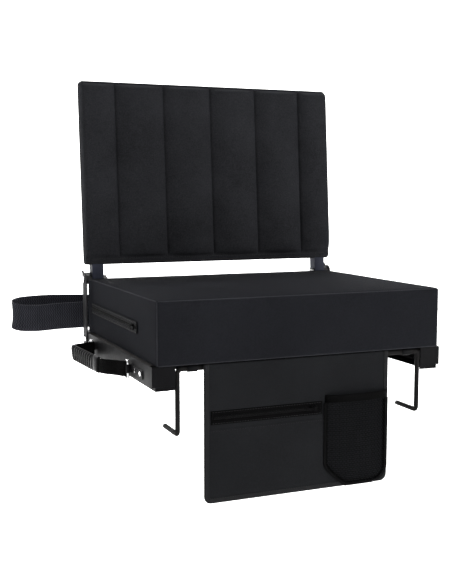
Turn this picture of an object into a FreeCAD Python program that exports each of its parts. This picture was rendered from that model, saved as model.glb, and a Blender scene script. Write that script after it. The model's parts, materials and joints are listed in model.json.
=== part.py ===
import FreeCAD, Part
import math
import os
import re

# Folding stadium seat that clamps on a bench.
# Millimetres. The front faces -Y, Z is up, and X runs from left to right as seen from the front.
# The origin is the middle of the frame's underside, which rests on the bench.
SIZES = {
    # seat cushion
    "seat_width": 508, "seat_depth": 394, "seat_thick": 102, "seat_corner": 7,
    # sheet steel frame
    "frame_height": 38, "frame_half": 260.5, "gauge": 1.6, "rail_front": -193, "rail_rear": 188,
    "lip_height": 6.5, "lip_inset": 5.5, "flange": 20, "return_inner": 222.5, "rear_end": 228,
    "bar_half": 25, "board_thick": 8, "board_front": -177, "screw_side": 248, "screw_pitch": 150,
    "screw_radius": 2, "screw_head": 4,
    # hinge of the back
    "pivot_y": 210, "pivot_z": 137.5, "recline": 4.5, "bracket_gauge": 3, "bracket_width": 24,
    "bracket_foot": 12, "bolt_radius": 4, "running_gap": 0.05,
    "stop_radius": 3.5, "stop_lobe": 7, "stop_behind": 15.6, "stop_above": 9,
    "bolt_head": 7, "bolt_out": 3, "nut_radius": 7.5, "nut_high": 7, "spacer_radius": 9, "bush_wall": 2,
    "rivet": 3, "rivet_head": 4.5, "rivet_half_pitch": 6.5, "rivet_z": 25, "head_high": 2, "tail_high": 1.5,
    # tubes of the back, measured from the pivot along the lean
    "tube": 22, "tube_wall": 1.4, "upright_outer": 248, "upright_top": 364,
    "cross_top": 344, "cross_low": 42,
    # padded cover of the back, measured the same way
    "cover_width": 520, "cover_low": 27.5, "cover_length": 346, "cover_thick": 26.4, "cover_skin": 1.2,
    "cover_corner": 5,
    # bench hook rod
    "rod_radius": 4, "rod_y": -189, "rod_z": 32, "leg_half": 218, "leg_drop": 102.5, "arm_length": 60,
    "rod_bend": 6.5,
    "clip_x": 194, "clip_half": 8, "clip_wall": 1.55, "clip_rear": -158, "clip_screw_y": -168,
    "small_screw": 1.5, "small_head": 3.2,
    # carry handle on the left rail
    "handle_mid": 30, "handle_span": 216, "handle_z": 17, "webbing_tall": 25, "webbing_thick": 2.4,
    "grip_from": -30, "grip_to": 109, "grip_out_front": 32, "grip_out_rear": 42, "grip_tall": 28,
    "grip_thick": 11, "grip_round": 3, "webbing_bend": 8.5, "bend_front": 10, "bend_rear": 10,
    "ring_reach": 3.6, "handle_root": 266.5, "ring_wire": 1.9, "ring_tall": 29, "ring_long": 11,
    "ring_bend": 3, "keeper_wall": 1.5, "keeper_gap": 0.3, "plate_front": -150, "plate_rear": 182,
    "plate_low": 5, "plate_high": 9, "plate_rivet": 2.4, "plate_rivet_head": 4, "plate_rivet_tail": 3.6,
    "plate_rivet_z": 20,
    # shoulder strap behind the seat
    "strap_tall": 50, "strap_thick": 2, "strap_low": 43, "strap_plane": 230, "strap_reach": 391,
    "strap_loop": 17, "anchor_x": 170, "anchor_width": 44, "anchor_top": 100, "anchor_front": 205,
    "strap_rivet": 2.5, "strap_rivet_head": 5, "strap_rivet_tail": 4, "strap_rivet_step": 12,
    "strap_rivet_z": 68,
    # storage flap under the front edge
    "flap_left": -177, "flap_right": 155, "flap_low": -185, "flap_thick": 3, "flap_back": -194.3,
    "flap_corner": 12, "binding_width": 10, "binding_thick": 0.8,
    "zip_left": -167, "zip_right": 30, "zip_z": -48, "zip_tall": 22,
    # mesh pocket on the flap
    "pocket_left": 37, "pocket_right": 151, "pocket_top": -34, "pocket_low": -181, "pocket_deep": 15,
    "pocket_skin": 1.2, "band_tall": 13, "pocket_hem": 8, "pocket_slant": 38, "pocket_round": 26,
    # zip of the seat cover
    "seat_zip_front": -100, "seat_zip_rear": 190, "seat_zip_z": 86, "seat_zip_tall": 20, "tape_thick": 0.8,
    "slider_long": 11, "slider_tall": 9, "slider_thick": 3, "slider_gap": 0.3, "slider_in": 14,
    "pin_in": 18, "pin_out": 1.8, "pin_radius": 0.6, "pull_long": 16, "pull_thick": 1.4, "pull_half": 2,
    "pull_eye": 1.3, "pull_bore": 0.65, "cheek_low": 2.2, "cheek_high": 3.6, "cheek_half": 2,
    "cheek_rim": 0.9,
}

DOC = FreeCAD.newDocument("stadium_seat")
NODES = []


def write_sheet():
    """Fill the sheet with the driving sizes, one alias in each row."""
    sheet = DOC.addObject("Spreadsheet::Sheet", "dims")
    for row, (alias, value) in enumerate(SIZES.items(), start=1):
        sheet.set("A%d" % row, alias)
        sheet.set("B%d" % row, str(value))
        sheet.setAlias("B%d" % row, alias)
    DOC.recompute()
    return sheet


SHEET = write_sheet()


def size(alias):
    """Value of one driving size, read back from the sheet."""
    return float(getattr(SHEET, alias))


def formula(text):
    """A formula whose aliases are read from the sheet."""
    def named(word):
        return "dims." + word.group() if word.group() in SIZES else word.group()

    return re.sub(r"[a-z_]+", named, text)


def bind(thing, **formulas):
    """Tie properties to the sheet. In a keyword, a double underscore stands for a dot."""
    for key, text in formulas.items():
        thing.setExpression(key.replace("__", "."), formula(text))
    return thing


def node(thing, label):
    """Name a finished sub-part, whose label is also the name of its file."""
    thing.Label = label
    NODES.append(thing)
    return thing


def cuboid(x, y, z):
    """A box between three pairs of formulas."""
    thing = DOC.addObject("Part::Box", "box")
    return bind(
        thing,
        Length="(%s) - (%s)" % (x[1], x[0]), Width="(%s) - (%s)" % (y[1], y[0]),
        Height="(%s) - (%s)" % (z[1], z[0]),
        Placement__Base__x=x[0], Placement__Base__y=y[0], Placement__Base__z=z[0],
    )


TURNS = {
    "x": FreeCAD.Rotation(FreeCAD.Vector(0, 1, 0), 90),
    "y": FreeCAD.Rotation(FreeCAD.Vector(1, 0, 0), -90),
    "z": FreeCAD.Rotation(),
}


def rod(axis, radius, span, first, second):
    """A cylinder along an axis. first and second are its centre on the other two axes, in X, Y, Z order."""
    thing = DOC.addObject("Part::Cylinder", "rod")
    thing.Placement = FreeCAD.Placement(FreeCAD.Vector(), TURNS[axis])
    start = span[0]
    base = {"x": (start, first, second), "y": (first, start, second), "z": (first, second, start)}[axis]
    return bind(
        thing, Radius=radius, Height="(%s) - (%s)" % (span[1], span[0]),
        Placement__Base__x=base[0], Placement__Base__y=base[1], Placement__Base__z=base[2],
    )


def fuse(*things):
    """One solid from several."""
    joined = DOC.addObject("Part::MultiFuse", "fuse")
    joined.Shapes = list(things)
    joined.Refine = True
    return joined


def cut(base, *tools):
    """The base without the tools."""
    tool = tools[0] if len(tools) == 1 else group(*tools)
    result = DOC.addObject("Part::Cut", "cut")
    result.Base = base
    result.Tool = tool
    result.Refine = True
    return result


def group(*things):
    """Separate solids that share one node."""
    result = DOC.addObject("Part::Compound", "group")
    result.Links = list(things)
    return result


def feature(shape):
    """An object that holds a shape worked out from the sheet's sizes."""
    thing = DOC.addObject("Part::Feature", "shape")
    thing.Shape = shape
    return thing


def rounded(base, radius, chosen=None):
    """Fillet the edges of a box that pass the test, or all of them."""
    DOC.recompute()
    result = DOC.addObject("Part::Fillet", "fillet")
    result.Base = base
    numbered = enumerate(base.Shape.Edges, start=1)
    result.Edges = [(i, radius, radius) for i, edge in numbered if not chosen or chosen(edge)]
    return result


def sided(side, inner, outer):
    """The X span of a piece on the left (-1) or the right (1) of the seat."""
    return (inner, outer) if side > 0 else ("-(%s)" % outer, "-(%s)" % inner)


def lean(thing):
    """Put a piece that is drawn upright about the pivot into the back's leaning frame."""
    thing.Placement = FreeCAD.Placement(
        FreeCAD.Vector(0, size("pivot_y"), size("pivot_z")),
        FreeCAD.Rotation(FreeCAD.Vector(1, 0, 0), -size("recline")),
    )
    return bind(thing, Placement__Base__y="pivot_y", Placement__Base__z="pivot_z",
                Placement__Rotation__Angle="recline", Placement__Rotation__Axis__x="-1")


# ---------------------------------------------------------------- frame
BRACKET_FACE = "frame_half - gauge + bracket_gauge"
CLIP_SCREWS = [("%s * clip_x" % sign, "clip_screw_y") for sign in ("-1", "1")]
BOARD_SCREWS = [
    ("%s * screw_side" % side, "%s * screw_pitch" % row) for side in ("-1", "1") for row in ("-1", "0", "1")
]
BRACKET_RIVETS = [("pivot_y - rivet_half_pitch", "rivet_z"), ("pivot_y + rivet_half_pitch", "rivet_z")]
FRONT_PLATE_RIVETS = ["plate_front + 8", "plate_front + 38"]
REAR_PLATE_RIVETS = ["plate_rear - 24", "plate_rear - 8"]
PLATE_RIVETS = FRONT_PLATE_RIVETS + REAR_PLATE_RIVETS
ANCHOR_RIVETS = [
    ("%s * (anchor_x %s strap_rivet_step)" % (side, step), "strap_rivet_z")
    for side in ("-1", "1") for step in ("-", "+")
]


def side_rail(side):
    """Folded side rail: web, shelf for the board, stepped lip, flange on the bench and a front return."""
    long = ("rail_front", "rail_rear")
    rail = fuse(
        cuboid(sided(side, "frame_half - gauge", "frame_half"), long, ("lip_height", "frame_height")),
        cuboid(sided(side, "frame_half - gauge - flange", "frame_half"), long,
               ("frame_height - board_thick - gauge", "frame_height - board_thick")),
        cuboid(sided(side, "frame_half - lip_inset - gauge", "frame_half"), long,
               ("lip_height", "lip_height + gauge")),
        cuboid(sided(side, "frame_half - lip_inset - gauge", "frame_half - lip_inset"), long,
               ("0", "lip_height + gauge")),
        cuboid(sided(side, "frame_half - lip_inset - flange - gauge", "frame_half - lip_inset"), long,
               ("0", "gauge")),
        cuboid(sided(side, "return_inner", "frame_half"), ("rail_front", "rail_front + gauge"),
               ("lip_height", "frame_height")),
        cuboid(sided(side, "return_inner", "frame_half - lip_inset"),
               ("rail_front + gauge", "rail_front + 2 * gauge"), ("0", "lip_height + gauge")),
    )
    holes = [
        rod("z", "screw_radius", ("frame_height - board_thick - 3", "frame_height"), x, y)
        for x, y in BOARD_SCREWS if (x[0] == "-") == (side < 0)
    ]
    if side < 0:
        web = ("-frame_half - 1", "-frame_half + gauge + 1")
        holes += [rod("x", "plate_rivet", web, y, "plate_rivet_z") for y in PLATE_RIVETS]
    return node(cut(rail, *holes), "left_side_rail" if side < 0 else "right_side_rail")


def rear_cross_rail():
    """Channel across the rear, open to the back, with an end plate for each hinge bracket."""
    half = "frame_half - gauge"
    deep = ("rail_rear", "rear_end")
    tall = ("0", "frame_height")
    ends = [cuboid(sided(side, "frame_half - 2 * gauge", half), deep, tall) for side in (-1, 1)]
    channel = fuse(
        cuboid(("-(%s)" % half, half), ("rail_rear", "rail_rear + gauge"), tall),
        cuboid(("-(%s)" % half, half), deep, ("0", "gauge")),
        cuboid(("-(%s)" % half, half), deep, ("frame_height - gauge", "frame_height")),
        *ends,
    )
    holes = [rod("x", "rivet", ("-frame_half", "frame_half"), y, z) for y, z in BRACKET_RIVETS]
    return node(cut(channel, *holes), "rear_cross_rail")


def centre_cross_bar():
    """Channel under the board. Its underside is the face at the origin."""
    reach = "frame_half - lip_inset - flange - gauge"
    across = ("-(%s)" % reach, reach)
    under_board = "frame_height - board_thick"
    return node(fuse(
        cuboid(across, ("-bar_half", "bar_half"), ("0", "gauge")),
        cuboid(across, ("-bar_half", "-bar_half + gauge"), ("0", under_board)),
        cuboid(across, ("bar_half - gauge", "bar_half"), ("0", under_board)),
    ), "centre_cross_bar")


def seat_board():
    """Plywood board under the cushion. It stops short in front so that the hook legs can swing back."""
    half = "frame_half - gauge - 0.5"
    low = "frame_height - board_thick"
    board = cuboid(("-(%s)" % half, half), ("board_front", "rail_rear - 2"), (low, "frame_height"))
    holes = [rod("z", "screw_radius", (low + " - 1", "frame_height"), x, y) for x, y in BOARD_SCREWS]
    holes += [rod("z", "small_screw", (low + " - 1", "frame_height - 1"), x, y) for x, y in CLIP_SCREWS]
    return node(cut(board, *holes), "seat_board")


def screws(places, radius, head, tip, label):
    """Pan head screws that point up through the shelf into the board, as one node of separate solids."""
    under = "frame_height - board_thick - gauge"
    solids = [
        fuse(rod("z", radius, (under, tip), x, y), rod("z", head, ("%s - head_high" % under, under), x, y))
        for x, y in places
    ]
    return node(group(*solids), label)


def seat_cushion():
    """Foam cushion in its cover, a plain soft solid."""
    block = cuboid(("-seat_width / 2", "seat_width / 2"), ("-seat_depth / 2", "seat_depth / 2"),
                   ("frame_height", "frame_height + seat_thick"))
    return node(rounded(block, size("seat_corner")), "seat_cushion")


# ---------------------------------------------------------------- hinge of the back
def hinge_bracket(side):
    """Flat steel ear with a round top, a lobe for the stop pin and two rivet holes."""
    x = sided(side, "frame_half - gauge", BRACKET_FACE)
    wide = ("pivot_y - bracket_width / 2", "pivot_y + bracket_width / 2")
    lobe = ("pivot_y", "pivot_y + stop_behind + stop_lobe")
    ear = fuse(
        cuboid(x, wide, ("bracket_foot", "pivot_z")),
        rod("x", "bracket_width / 2", x, "pivot_y", "pivot_z"),
        rod("x", "stop_lobe", x, "pivot_y + stop_behind", "pivot_z + stop_above"),
        cuboid(x, lobe, ("pivot_z - 4", "pivot_z + stop_above")),
    )
    holes = [
        rod("x", "bolt_radius + running_gap", x, "pivot_y", "pivot_z"),
        rod("x", "stop_radius", x, "pivot_y + stop_behind", "pivot_z + stop_above"),
    ]
    holes += [rod("x", "rivet", x, y, z) for y, z in BRACKET_RIVETS]
    return node(cut(ear, *holes), "left_hinge_bracket" if side < 0 else "right_hinge_bracket")


def bracket_rivets():
    """Two dome rivets through each bracket and the end plate of the rear rail."""
    solids = []
    for side in (-1, 1):
        for y, z in BRACKET_RIVETS:
            inside = "frame_half - 2 * gauge"
            shank = rod("x", "rivet", sided(side, inside, BRACKET_FACE), y, z)
            head = rod("x", "rivet_head", sided(side, BRACKET_FACE, "%s + head_high" % BRACKET_FACE), y, z)
            tail = rod("x", "rivet_head", sided(side, "%s - tail_high" % inside, inside), y, z)
            solids.append(fuse(shank, head, tail))
    return node(group(*solids), "bracket_rivets")


def pivot_bolts():
    """Shoulder bolts that the uprights turn on."""
    solids = []
    for side in (-1, 1):
        shank = rod("x", "bolt_radius", sided(side, "upright_outer - tube - 9", BRACKET_FACE),
                    "pivot_y", "pivot_z")
        head = rod("x", "bolt_head", sided(side, BRACKET_FACE, "%s + bolt_out" % BRACKET_FACE),
                   "pivot_y", "pivot_z")
        solids.append(fuse(shank, head))
    return node(group(*solids), "pivot_bolts")


def pivot_spacers():
    """Nylon spacers between the brackets and the uprights."""
    solids = []
    for side in (-1, 1):
        x = sided(side, "upright_outer + 0.3", "frame_half - gauge")
        solids.append(cut(rod("x", "spacer_radius", x, "pivot_y", "pivot_z"),
                          rod("x", "bolt_radius", x, "pivot_y", "pivot_z")))
    return node(group(*solids), "pivot_spacers")


def pivot_lock_nuts():
    """Hexagon lock nuts on the inner ends of the pivot bolts."""
    solids = []
    for side in (-1, 1):
        hexagon = DOC.addObject("Part::Prism", "nut")
        hexagon.Placement = FreeCAD.Placement(FreeCAD.Vector(), TURNS["x"])
        x = sided(side, "upright_outer - tube - 0.3 - nut_high", "upright_outer - tube - 0.3")
        bind(hexagon, Circumradius="nut_radius", Height="nut_high", Placement__Base__x=x[0],
             Placement__Base__y="pivot_y", Placement__Base__z="pivot_z")
        solids.append(cut(hexagon, rod("x", "bolt_radius", x, "pivot_y", "pivot_z")))
    return node(group(*solids), "pivot_lock_nuts")


def back_stop_pins():
    """Pins behind the uprights that stop the back at its recline."""
    solids = [
        rod("x", "stop_radius", sided(side, "upright_outer - 14", BRACKET_FACE),
            "pivot_y + stop_behind", "pivot_z + stop_above")
        for side in (-1, 1)
    ]
    return node(group(*solids), "back_stop_pins")


# ---------------------------------------------------------------- back, drawn upright about its pivot
def hollow_tube(x, y, z, wall_x, wall_y, wall_z):
    """Square tube: an outer box less an inner box whose walls are given for each axis."""
    outer = cuboid(x, y, z)
    inner = cuboid(*[
        ("(%s) + (%s)" % (span[0], wall), "(%s) - (%s)" % (span[1], wall))
        for span, wall in ((x, wall_x), (y, wall_y), (z, wall_z))
    ])
    return cut(outer, inner)


def upright(side):
    """Square tube that leans on the pivot bolt. Its lower end is closed and round about the bolt."""
    x = sided(side, "upright_outer - tube", "upright_outer")
    inside = sided(side, "upright_outer - tube + tube_wall", "upright_outer - tube_wall")
    outer = fuse(cuboid(x, ("-tube / 2", "tube / 2"), ("0", "upright_top")),
                 rod("x", "tube / 2", x, "0", "0"))
    room = "tube / 2 - tube_wall"
    inner = fuse(cuboid(inside, ("-(%s)" % room, room), ("0", "upright_top + 1")),
                 rod("x", room, inside, "0", "0"))
    bore = rod("x", "bolt_radius + bush_wall", x, "0", "0")
    return node(lean(cut(outer, inner, bore)), "left_upright" if side < 0 else "right_upright")


def upright_bushes():
    """Nylon bushes in the uprights that run on the pivot bolts."""
    solids = []
    for side in (-1, 1):
        x = sided(side, "upright_outer - tube", "upright_outer")
        solids.append(cut(rod("x", "bolt_radius + bush_wall", x, "0", "0"),
                          rod("x", "bolt_radius + running_gap", x, "0", "0")))
    return node(lean(group(*solids)), "upright_bushes")


def cross_tube(height, label):
    """Square tube between the uprights."""
    reach = "upright_outer - tube"
    tube = hollow_tube(("-(%s)" % reach, reach), ("-tube / 2", "tube / 2"),
                       ("%s - tube / 2" % height, "%s + tube / 2" % height), "-1", "tube_wall", "tube_wall")
    return node(lean(tube), label)


def upright_end_caps():
    """Plastic plugs in the top ends of the uprights."""
    solids = []
    inside = "tube / 2 - tube_wall"
    for side in (-1, 1):
        bore = sided(side, "upright_outer - tube + tube_wall", "upright_outer - tube_wall")
        rim = sided(side, "upright_outer - tube", "upright_outer")
        plug = cuboid(bore, ("-(%s)" % inside, inside), ("upright_top - 8", "upright_top"))
        lid = cuboid(rim, ("-tube / 2", "tube / 2"), ("upright_top", "upright_top + 2"))
        solids.append(fuse(plug, lid))
    return node(lean(group(*solids)), "upright_end_caps")


def tube_space(low):
    """Room that the uprights and cross tubes take inside the cover, from a height up."""
    spaces = [
        cuboid(sided(side, "upright_outer - tube", "upright_outer"), ("-tube / 2", "tube / 2"),
               (low, "upright_top + 2"))
        for side in (-1, 1)
    ]
    reach = "upright_outer - tube"
    spaces += [
        cuboid(("-(%s)" % reach, reach), ("-tube / 2", "tube / 2"),
               ("%s - tube / 2" % height, "%s + tube / 2" % height))
        for height in ("cross_top", "cross_low")
    ]
    return fuse(*spaces)


def back_cover():
    """Fabric sleeve over the back frame, open only where the uprights leave it."""
    slab = cuboid(("-cover_width / 2", "cover_width / 2"), ("-cover_thick / 2", "cover_thick / 2"),
                  ("cover_low", "cover_low + cover_length"))
    hollow = cuboid(("-cover_width / 2 + cover_skin", "cover_width / 2 - cover_skin"),
                    ("-cover_thick / 2 + cover_skin", "cover_thick / 2 - cover_skin"),
                    ("cover_low + cover_skin", "cover_low + cover_length - cover_skin"))
    inner_corner = size("cover_corner") - size("cover_skin")
    shell = cut(rounded(slab, size("cover_corner")), rounded(hollow, inner_corner))
    return node(lean(cut(shell, tube_space("cover_low - 1"))), "back_cover")


def back_foam():
    """Foam that fills the sleeve round the tubes."""
    block = cuboid(("-cover_width / 2 + cover_skin", "cover_width / 2 - cover_skin"),
                   ("-cover_thick / 2 + cover_skin", "cover_thick / 2 - cover_skin"),
                   ("cover_low + cover_skin", "cover_low + cover_length - cover_skin"))
    filled = rounded(block, size("cover_corner") - size("cover_skin"))
    return node(lean(cut(filled, tube_space("cover_low"))), "back_foam")


# ---------------------------------------------------------------- bench hooks
def hook_rod():
    """One bent rod: a bar under the seat, a leg at each end and an arm that points back under the bench."""
    y, z, half, bend = size("rod_y"), size("rod_z"), size("leg_half"), size("rod_bend")
    foot = z - size("leg_drop")
    tip = y + size("arm_length")
    slant = bend * (1 - math.sqrt(0.5))
    left = [
        ((-half, tip, foot), (-half, y + bend, foot)),
        ((-half, y + bend, foot), (-half, y + slant, foot + slant), (-half, y, foot + bend)),
        ((-half, y, foot + bend), (-half, y, z - bend)),
        ((-half, y, z - bend), (-half + slant, y, z - slant), (-half + bend, y, z)),
    ]
    right = [tuple((-px, py, pz) for px, py, pz in reversed(run)) for run in reversed(left)]
    bar = [((-half + bend, y, z), (half - bend, y, z))]
    edges = []
    for run in left + bar + right:
        points = [FreeCAD.Vector(*point) for point in run]
        edges.append(Part.LineSegment(*points).toShape() if len(run) == 2 else Part.Arc(*points).toShape())
    start = Part.Wire([Part.makeCircle(size("rod_radius"), FreeCAD.Vector(-half, tip, foot),
                                       FreeCAD.Vector(0, 1, 0))])
    return node(feature(Part.Wire(edges).makePipeShell([start], True, False)), "hook_rod")


def hook_clips():
    """Saddle clips that carry the hook rod under the front of the board."""
    solids = []
    for side in (-1, 1):
        x = sided(side, "clip_x - clip_half", "clip_x + clip_half")
        tail = ("frame_height - board_thick - gauge", "frame_height - board_thick")
        body = fuse(rod("x", "rod_radius + clip_wall", x, "rod_y", "rod_z"),
                    cuboid(x, ("rod_y", "clip_rear"), tail))
        solids.append(cut(
            body,
            rod("x", "rod_radius + running_gap", x, "rod_y", "rod_z"),
            rod("z", "small_screw", ("frame_height - board_thick - 3", "frame_height"),
                "%d * clip_x" % side, "clip_screw_y"),
        ))
    return node(group(*solids), "hook_clips")


# ---------------------------------------------------------------- carry handle
def plan_band(points, thick, low, high):
    """Upright band seen in plan: straight first and last runs, and a smooth curve between them."""
    spots = [FreeCAD.Vector(px, py, low) for px, py in points]
    ends_along = {"InitialTangent": spots[1] - spots[0], "FinalTangent": spots[-1] - spots[-2]}
    curve = Part.BSplineCurve()
    curve.interpolate(Points=spots[1:-1], **ends_along)
    steps = 60
    first, last = curve.FirstParameter, curve.LastParameter
    places = [first + (last - first) * step / steps for step in range(steps + 1)]
    line = []
    for place in places:
        along = curve.tangent(place)[0]
        line.append((curve.value(place), FreeCAD.Vector(-along.y, along.x, 0)))
    edges = []
    ends = []
    for sign in (-1, 1):
        side = [centre + across * (sign * thick / 2) for centre, across in line]
        rim = Part.BSplineCurve()
        rim.interpolate(Points=side, **ends_along)
        start = spots[0] + line[0][1] * (sign * thick / 2)
        finish = spots[-1] + line[-1][1] * (sign * thick / 2)
        edges += [Part.LineSegment(start, side[0]).toShape(), rim.toShape(),
                  Part.LineSegment(side[-1], finish).toShape()]
        ends.append((start, finish))
    edges += [Part.LineSegment(ends[0][i], ends[1][i]).toShape() for i in (0, 1)]
    face = Part.Face(Part.Wire(Part.__sortEdges__(edges)))
    return face.extrude(FreeCAD.Vector(0, 0, high - low))


def handle_corners():
    """Centreline of the handle in plan: both ring bars, and the bends at the ends of the straight grip."""
    root, middle, half = -size("handle_root"), size("handle_mid"), size("handle_span") / 2
    low, high = size("grip_from"), size("grip_to")
    slope = (size("grip_out_rear") - size("grip_out_front")) / (high - low)
    bends = [
        FreeCAD.Vector(root - size("grip_out_front") - slope * (y - low), y, 0)
        for y in (low - size("bend_front"), high + size("bend_rear"))
    ]
    return [FreeCAD.Vector(root, middle - half, 0), *bends, FreeCAD.Vector(root, middle + half, 0)]


def toward(start, end, distance):
    """The point at a distance from the start, on the way to the end."""
    return start + (end - start).normalize() * distance


def handle_webbing():
    """Webbing from ring to ring, through the grip, with a round bend at each end of the grip."""
    front, first, second, rear = handle_corners()
    reach, bend = size("ring_reach"), size("webbing_bend")
    spots = [toward(front, first, reach)]
    edges = []
    for before, corner, after in ((front, first, second), (first, second, rear)):
        into, out = toward(corner, before, bend), toward(corner, after, bend)
        half_turn = (corner - before).getAngle(after - corner) / 2
        middle = corner + ((into + out) * 0.5 - corner) * (1 / (1 + math.cos(half_turn)))
        edges.append(Part.LineSegment(spots[-1], into).toShape())
        edges.append(Part.Arc(into, middle, out).toShape())
        spots.append(out)
    edges.append(Part.LineSegment(spots[-1], toward(rear, second, reach)).toShape())
    tall, thick = size("webbing_tall"), size("webbing_thick")
    outline = Part.Wire(edges).makeOffset2D(thick / 2)
    band = Part.Face(outline).extrude(FreeCAD.Vector(0, 0, tall))
    band.translate(FreeCAD.Vector(0, 0, size("handle_z") - tall / 2))
    return node(feature(band), "handle_webbing")


def grip_slab(thick, tall, extra):
    """Straight slab along the grip's line, longer than the grip by extra at both ends."""
    _, first, second, _ = handle_corners()
    start = toward(first, second, size("bend_front") - extra)
    finish = toward(second, first, size("bend_rear") - extra)
    corner = FreeCAD.Vector(0, -thick / 2, -tall / 2)
    slab = Part.makeBox(start.distanceToPoint(finish), thick, tall, corner)
    along = finish - start
    start.z = size("handle_z")
    slab.Placement = FreeCAD.Placement(start, FreeCAD.Rotation(FreeCAD.Vector(1, 0, 0), along))
    return slab


def handle_grip():
    """Rubber grip moulded round the webbing."""
    grip = grip_slab(size("grip_thick"), size("grip_tall"), 0)
    grip = grip.makeFillet(size("grip_round"), grip.Edges)
    return node(feature(grip.cut(grip_slab(size("webbing_thick"), size("webbing_tall"), 1))), "handle_grip")


def handle_ring(end, label):
    """Rectangular wire ring, its inner bar in a keeper and its outer bar in the webbing's end."""
    wire, tall, long = size("ring_wire"), size("ring_tall"), size("ring_long")
    x, z = -size("handle_root"), size("handle_z")
    inner_y = size("handle_mid") + end * (size("handle_span") / 2 + long)
    outer_y = inner_y - end * long
    bend = size("ring_bend")
    slant = bend * (1 - math.sqrt(0.5))
    low, high = z - tall / 2, z + tall / 2
    y_sign = -end
    corners = [(inner_y, low, y_sign, 1), (outer_y, low, -y_sign, 1),
               (outer_y, high, -y_sign, -1), (inner_y, high, y_sign, -1)]
    edges = []
    spots = []
    for cy, cz, dy, dz in corners:
        middle = (x, cy + dy * slant, cz + dz * slant)
        spots.append([(x, cy + dy * bend, cz), middle, (x, cy, cz + dz * bend)])
    order = [spots[0][::-1], spots[1], spots[2][::-1], spots[3]]
    for i, arc in enumerate(order):
        points = [FreeCAD.Vector(*p) for p in arc]
        edges.append(Part.Arc(*points).toShape())
        following = FreeCAD.Vector(*order[(i + 1) % 4][0])
        edges.append(Part.LineSegment(points[-1], following).toShape())
    path = Part.Wire(edges)
    start = FreeCAD.Vector(*order[0][0])
    circle = Part.Wire([Part.makeCircle(wire, start, FreeCAD.Vector(0, 0, 1))])
    return node(feature(path.makePipeShell([circle], True, False)), label)


def handle_plates():
    """Chromed strips riveted to the left rail, each with a keeper round a ring's inner bar."""
    solids = []
    face = "-frame_half"
    z = ("handle_z - plate_low", "handle_z + plate_high")
    ends = (("-1", "plate_front", FRONT_PLATE_RIVETS), ("1", "plate_rear", REAR_PLATE_RIVETS))
    for end, far, rivets in ends:
        bar_y = "handle_mid + %s * (handle_span / 2 + ring_long)" % end
        span = (far, bar_y) if end == "-1" else (bar_y, far)
        body = fuse(
            cuboid(("%s - keeper_wall" % face, face), span, z),
            rod("z", "ring_wire + keeper_gap + keeper_wall", z, "-handle_root", bar_y),
            cuboid(("-handle_root", face), ("%s - ring_wire" % bar_y, "%s + ring_wire" % bar_y), z),
        )
        holes = [rod("z", "ring_wire + keeper_gap", z, "-handle_root", bar_y)]
        holes += [rod("x", "plate_rivet", ("%s - 3" % face, face), y, "plate_rivet_z") for y in rivets]
        solids.append(cut(body, *holes))
    return node(group(*solids), "handle_plates")


def plate_rivets():
    """Dome rivets of the handle plates."""
    outside, inside = "-frame_half - keeper_wall", "-frame_half + gauge"
    solids = [
        fuse(rod("x", "plate_rivet", (outside, inside), y, "plate_rivet_z"),
             rod("x", "plate_rivet_head", ("%s - head_high" % outside, outside), y, "plate_rivet_z"),
             rod("x", "plate_rivet_tail", (inside, "%s + tail_high" % inside), y, "plate_rivet_z"))
        for y in PLATE_RIVETS
    ]
    return node(group(*solids), "plate_rivets")


# ---------------------------------------------------------------- shoulder strap
def strap_anchors():
    """Angle plates on the rear rail that hold the ends of the shoulder strap."""
    solids = []
    for side in (-1, 1):
        x = sided(side, "anchor_x - anchor_width / 2", "anchor_x + anchor_width / 2")
        face = "strap_plane - strap_thick / 2"
        plate = fuse(
            cuboid(x, ("anchor_front", face), ("frame_height", "frame_height + gauge")),
            cuboid(x, ("%s - gauge" % face, face), ("frame_height", "anchor_top")),
        )
        holes = [rod("y", "strap_rivet", ("%s - 3" % face, face), ax, az)
                 for ax, az in ANCHOR_RIVETS if (ax[0] == "-") == (side < 0)]
        solids.append(cut(plate, *holes))
    return node(group(*solids), "strap_anchors")


def strap_rivets():
    """Rivets through the strap's ends and the anchor plates."""
    rear = "strap_plane + strap_thick / 2"
    front = "strap_plane - strap_thick / 2 - gauge"
    solids = [
        fuse(rod("y", "strap_rivet", (front, rear), x, z),
             rod("y", "strap_rivet_head", (rear, "%s + tail_high" % rear), x, z),
             rod("y", "strap_rivet_tail", ("%s - tail_high" % front, front), x, z))
        for x, z in ANCHOR_RIVETS
    ]
    return node(group(*solids), "strap_rivets")


def shoulder_strap():
    """Webbing strap: out past the left corner, round a loop and back across the rear of the seat."""
    plane, reach, loop = size("strap_plane"), size("strap_reach"), size("strap_loop")
    width = size("anchor_width")
    end = size("anchor_x") + width / 2
    far = plane + 2 * loop
    points = [
        (-end + width, plane), (-end, plane), (-235, plane + 1), (-300, plane + 4),
        (-reach + 26, plane + 3), (-reach + 6, plane + 7), (-reach, plane + loop), (-reach + 9, far - 4),
        (-reach + 40, far), (-290, far - 1), (-200, far - 4), (-90, far + 6), (20, far + 4), (90, far - 14),
        (122, plane + 6), (end - width, plane), (end, plane),
    ]
    low = size("strap_low")
    band = plan_band(points, size("strap_thick"), low, low + size("strap_tall"))
    step, height = size("strap_rivet_step"), size("strap_rivet_z")
    rearward = FreeCAD.Vector(0, 1, 0)
    holes = [
        Part.makeCylinder(size("strap_rivet"), 20, FreeCAD.Vector(x, plane - 10, height), rearward)
        for x in [side * (size("anchor_x") + shift) for side in (-1, 1) for shift in (-step, step)]
    ]
    return node(feature(band.cut(holes)), "shoulder_strap")


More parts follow.
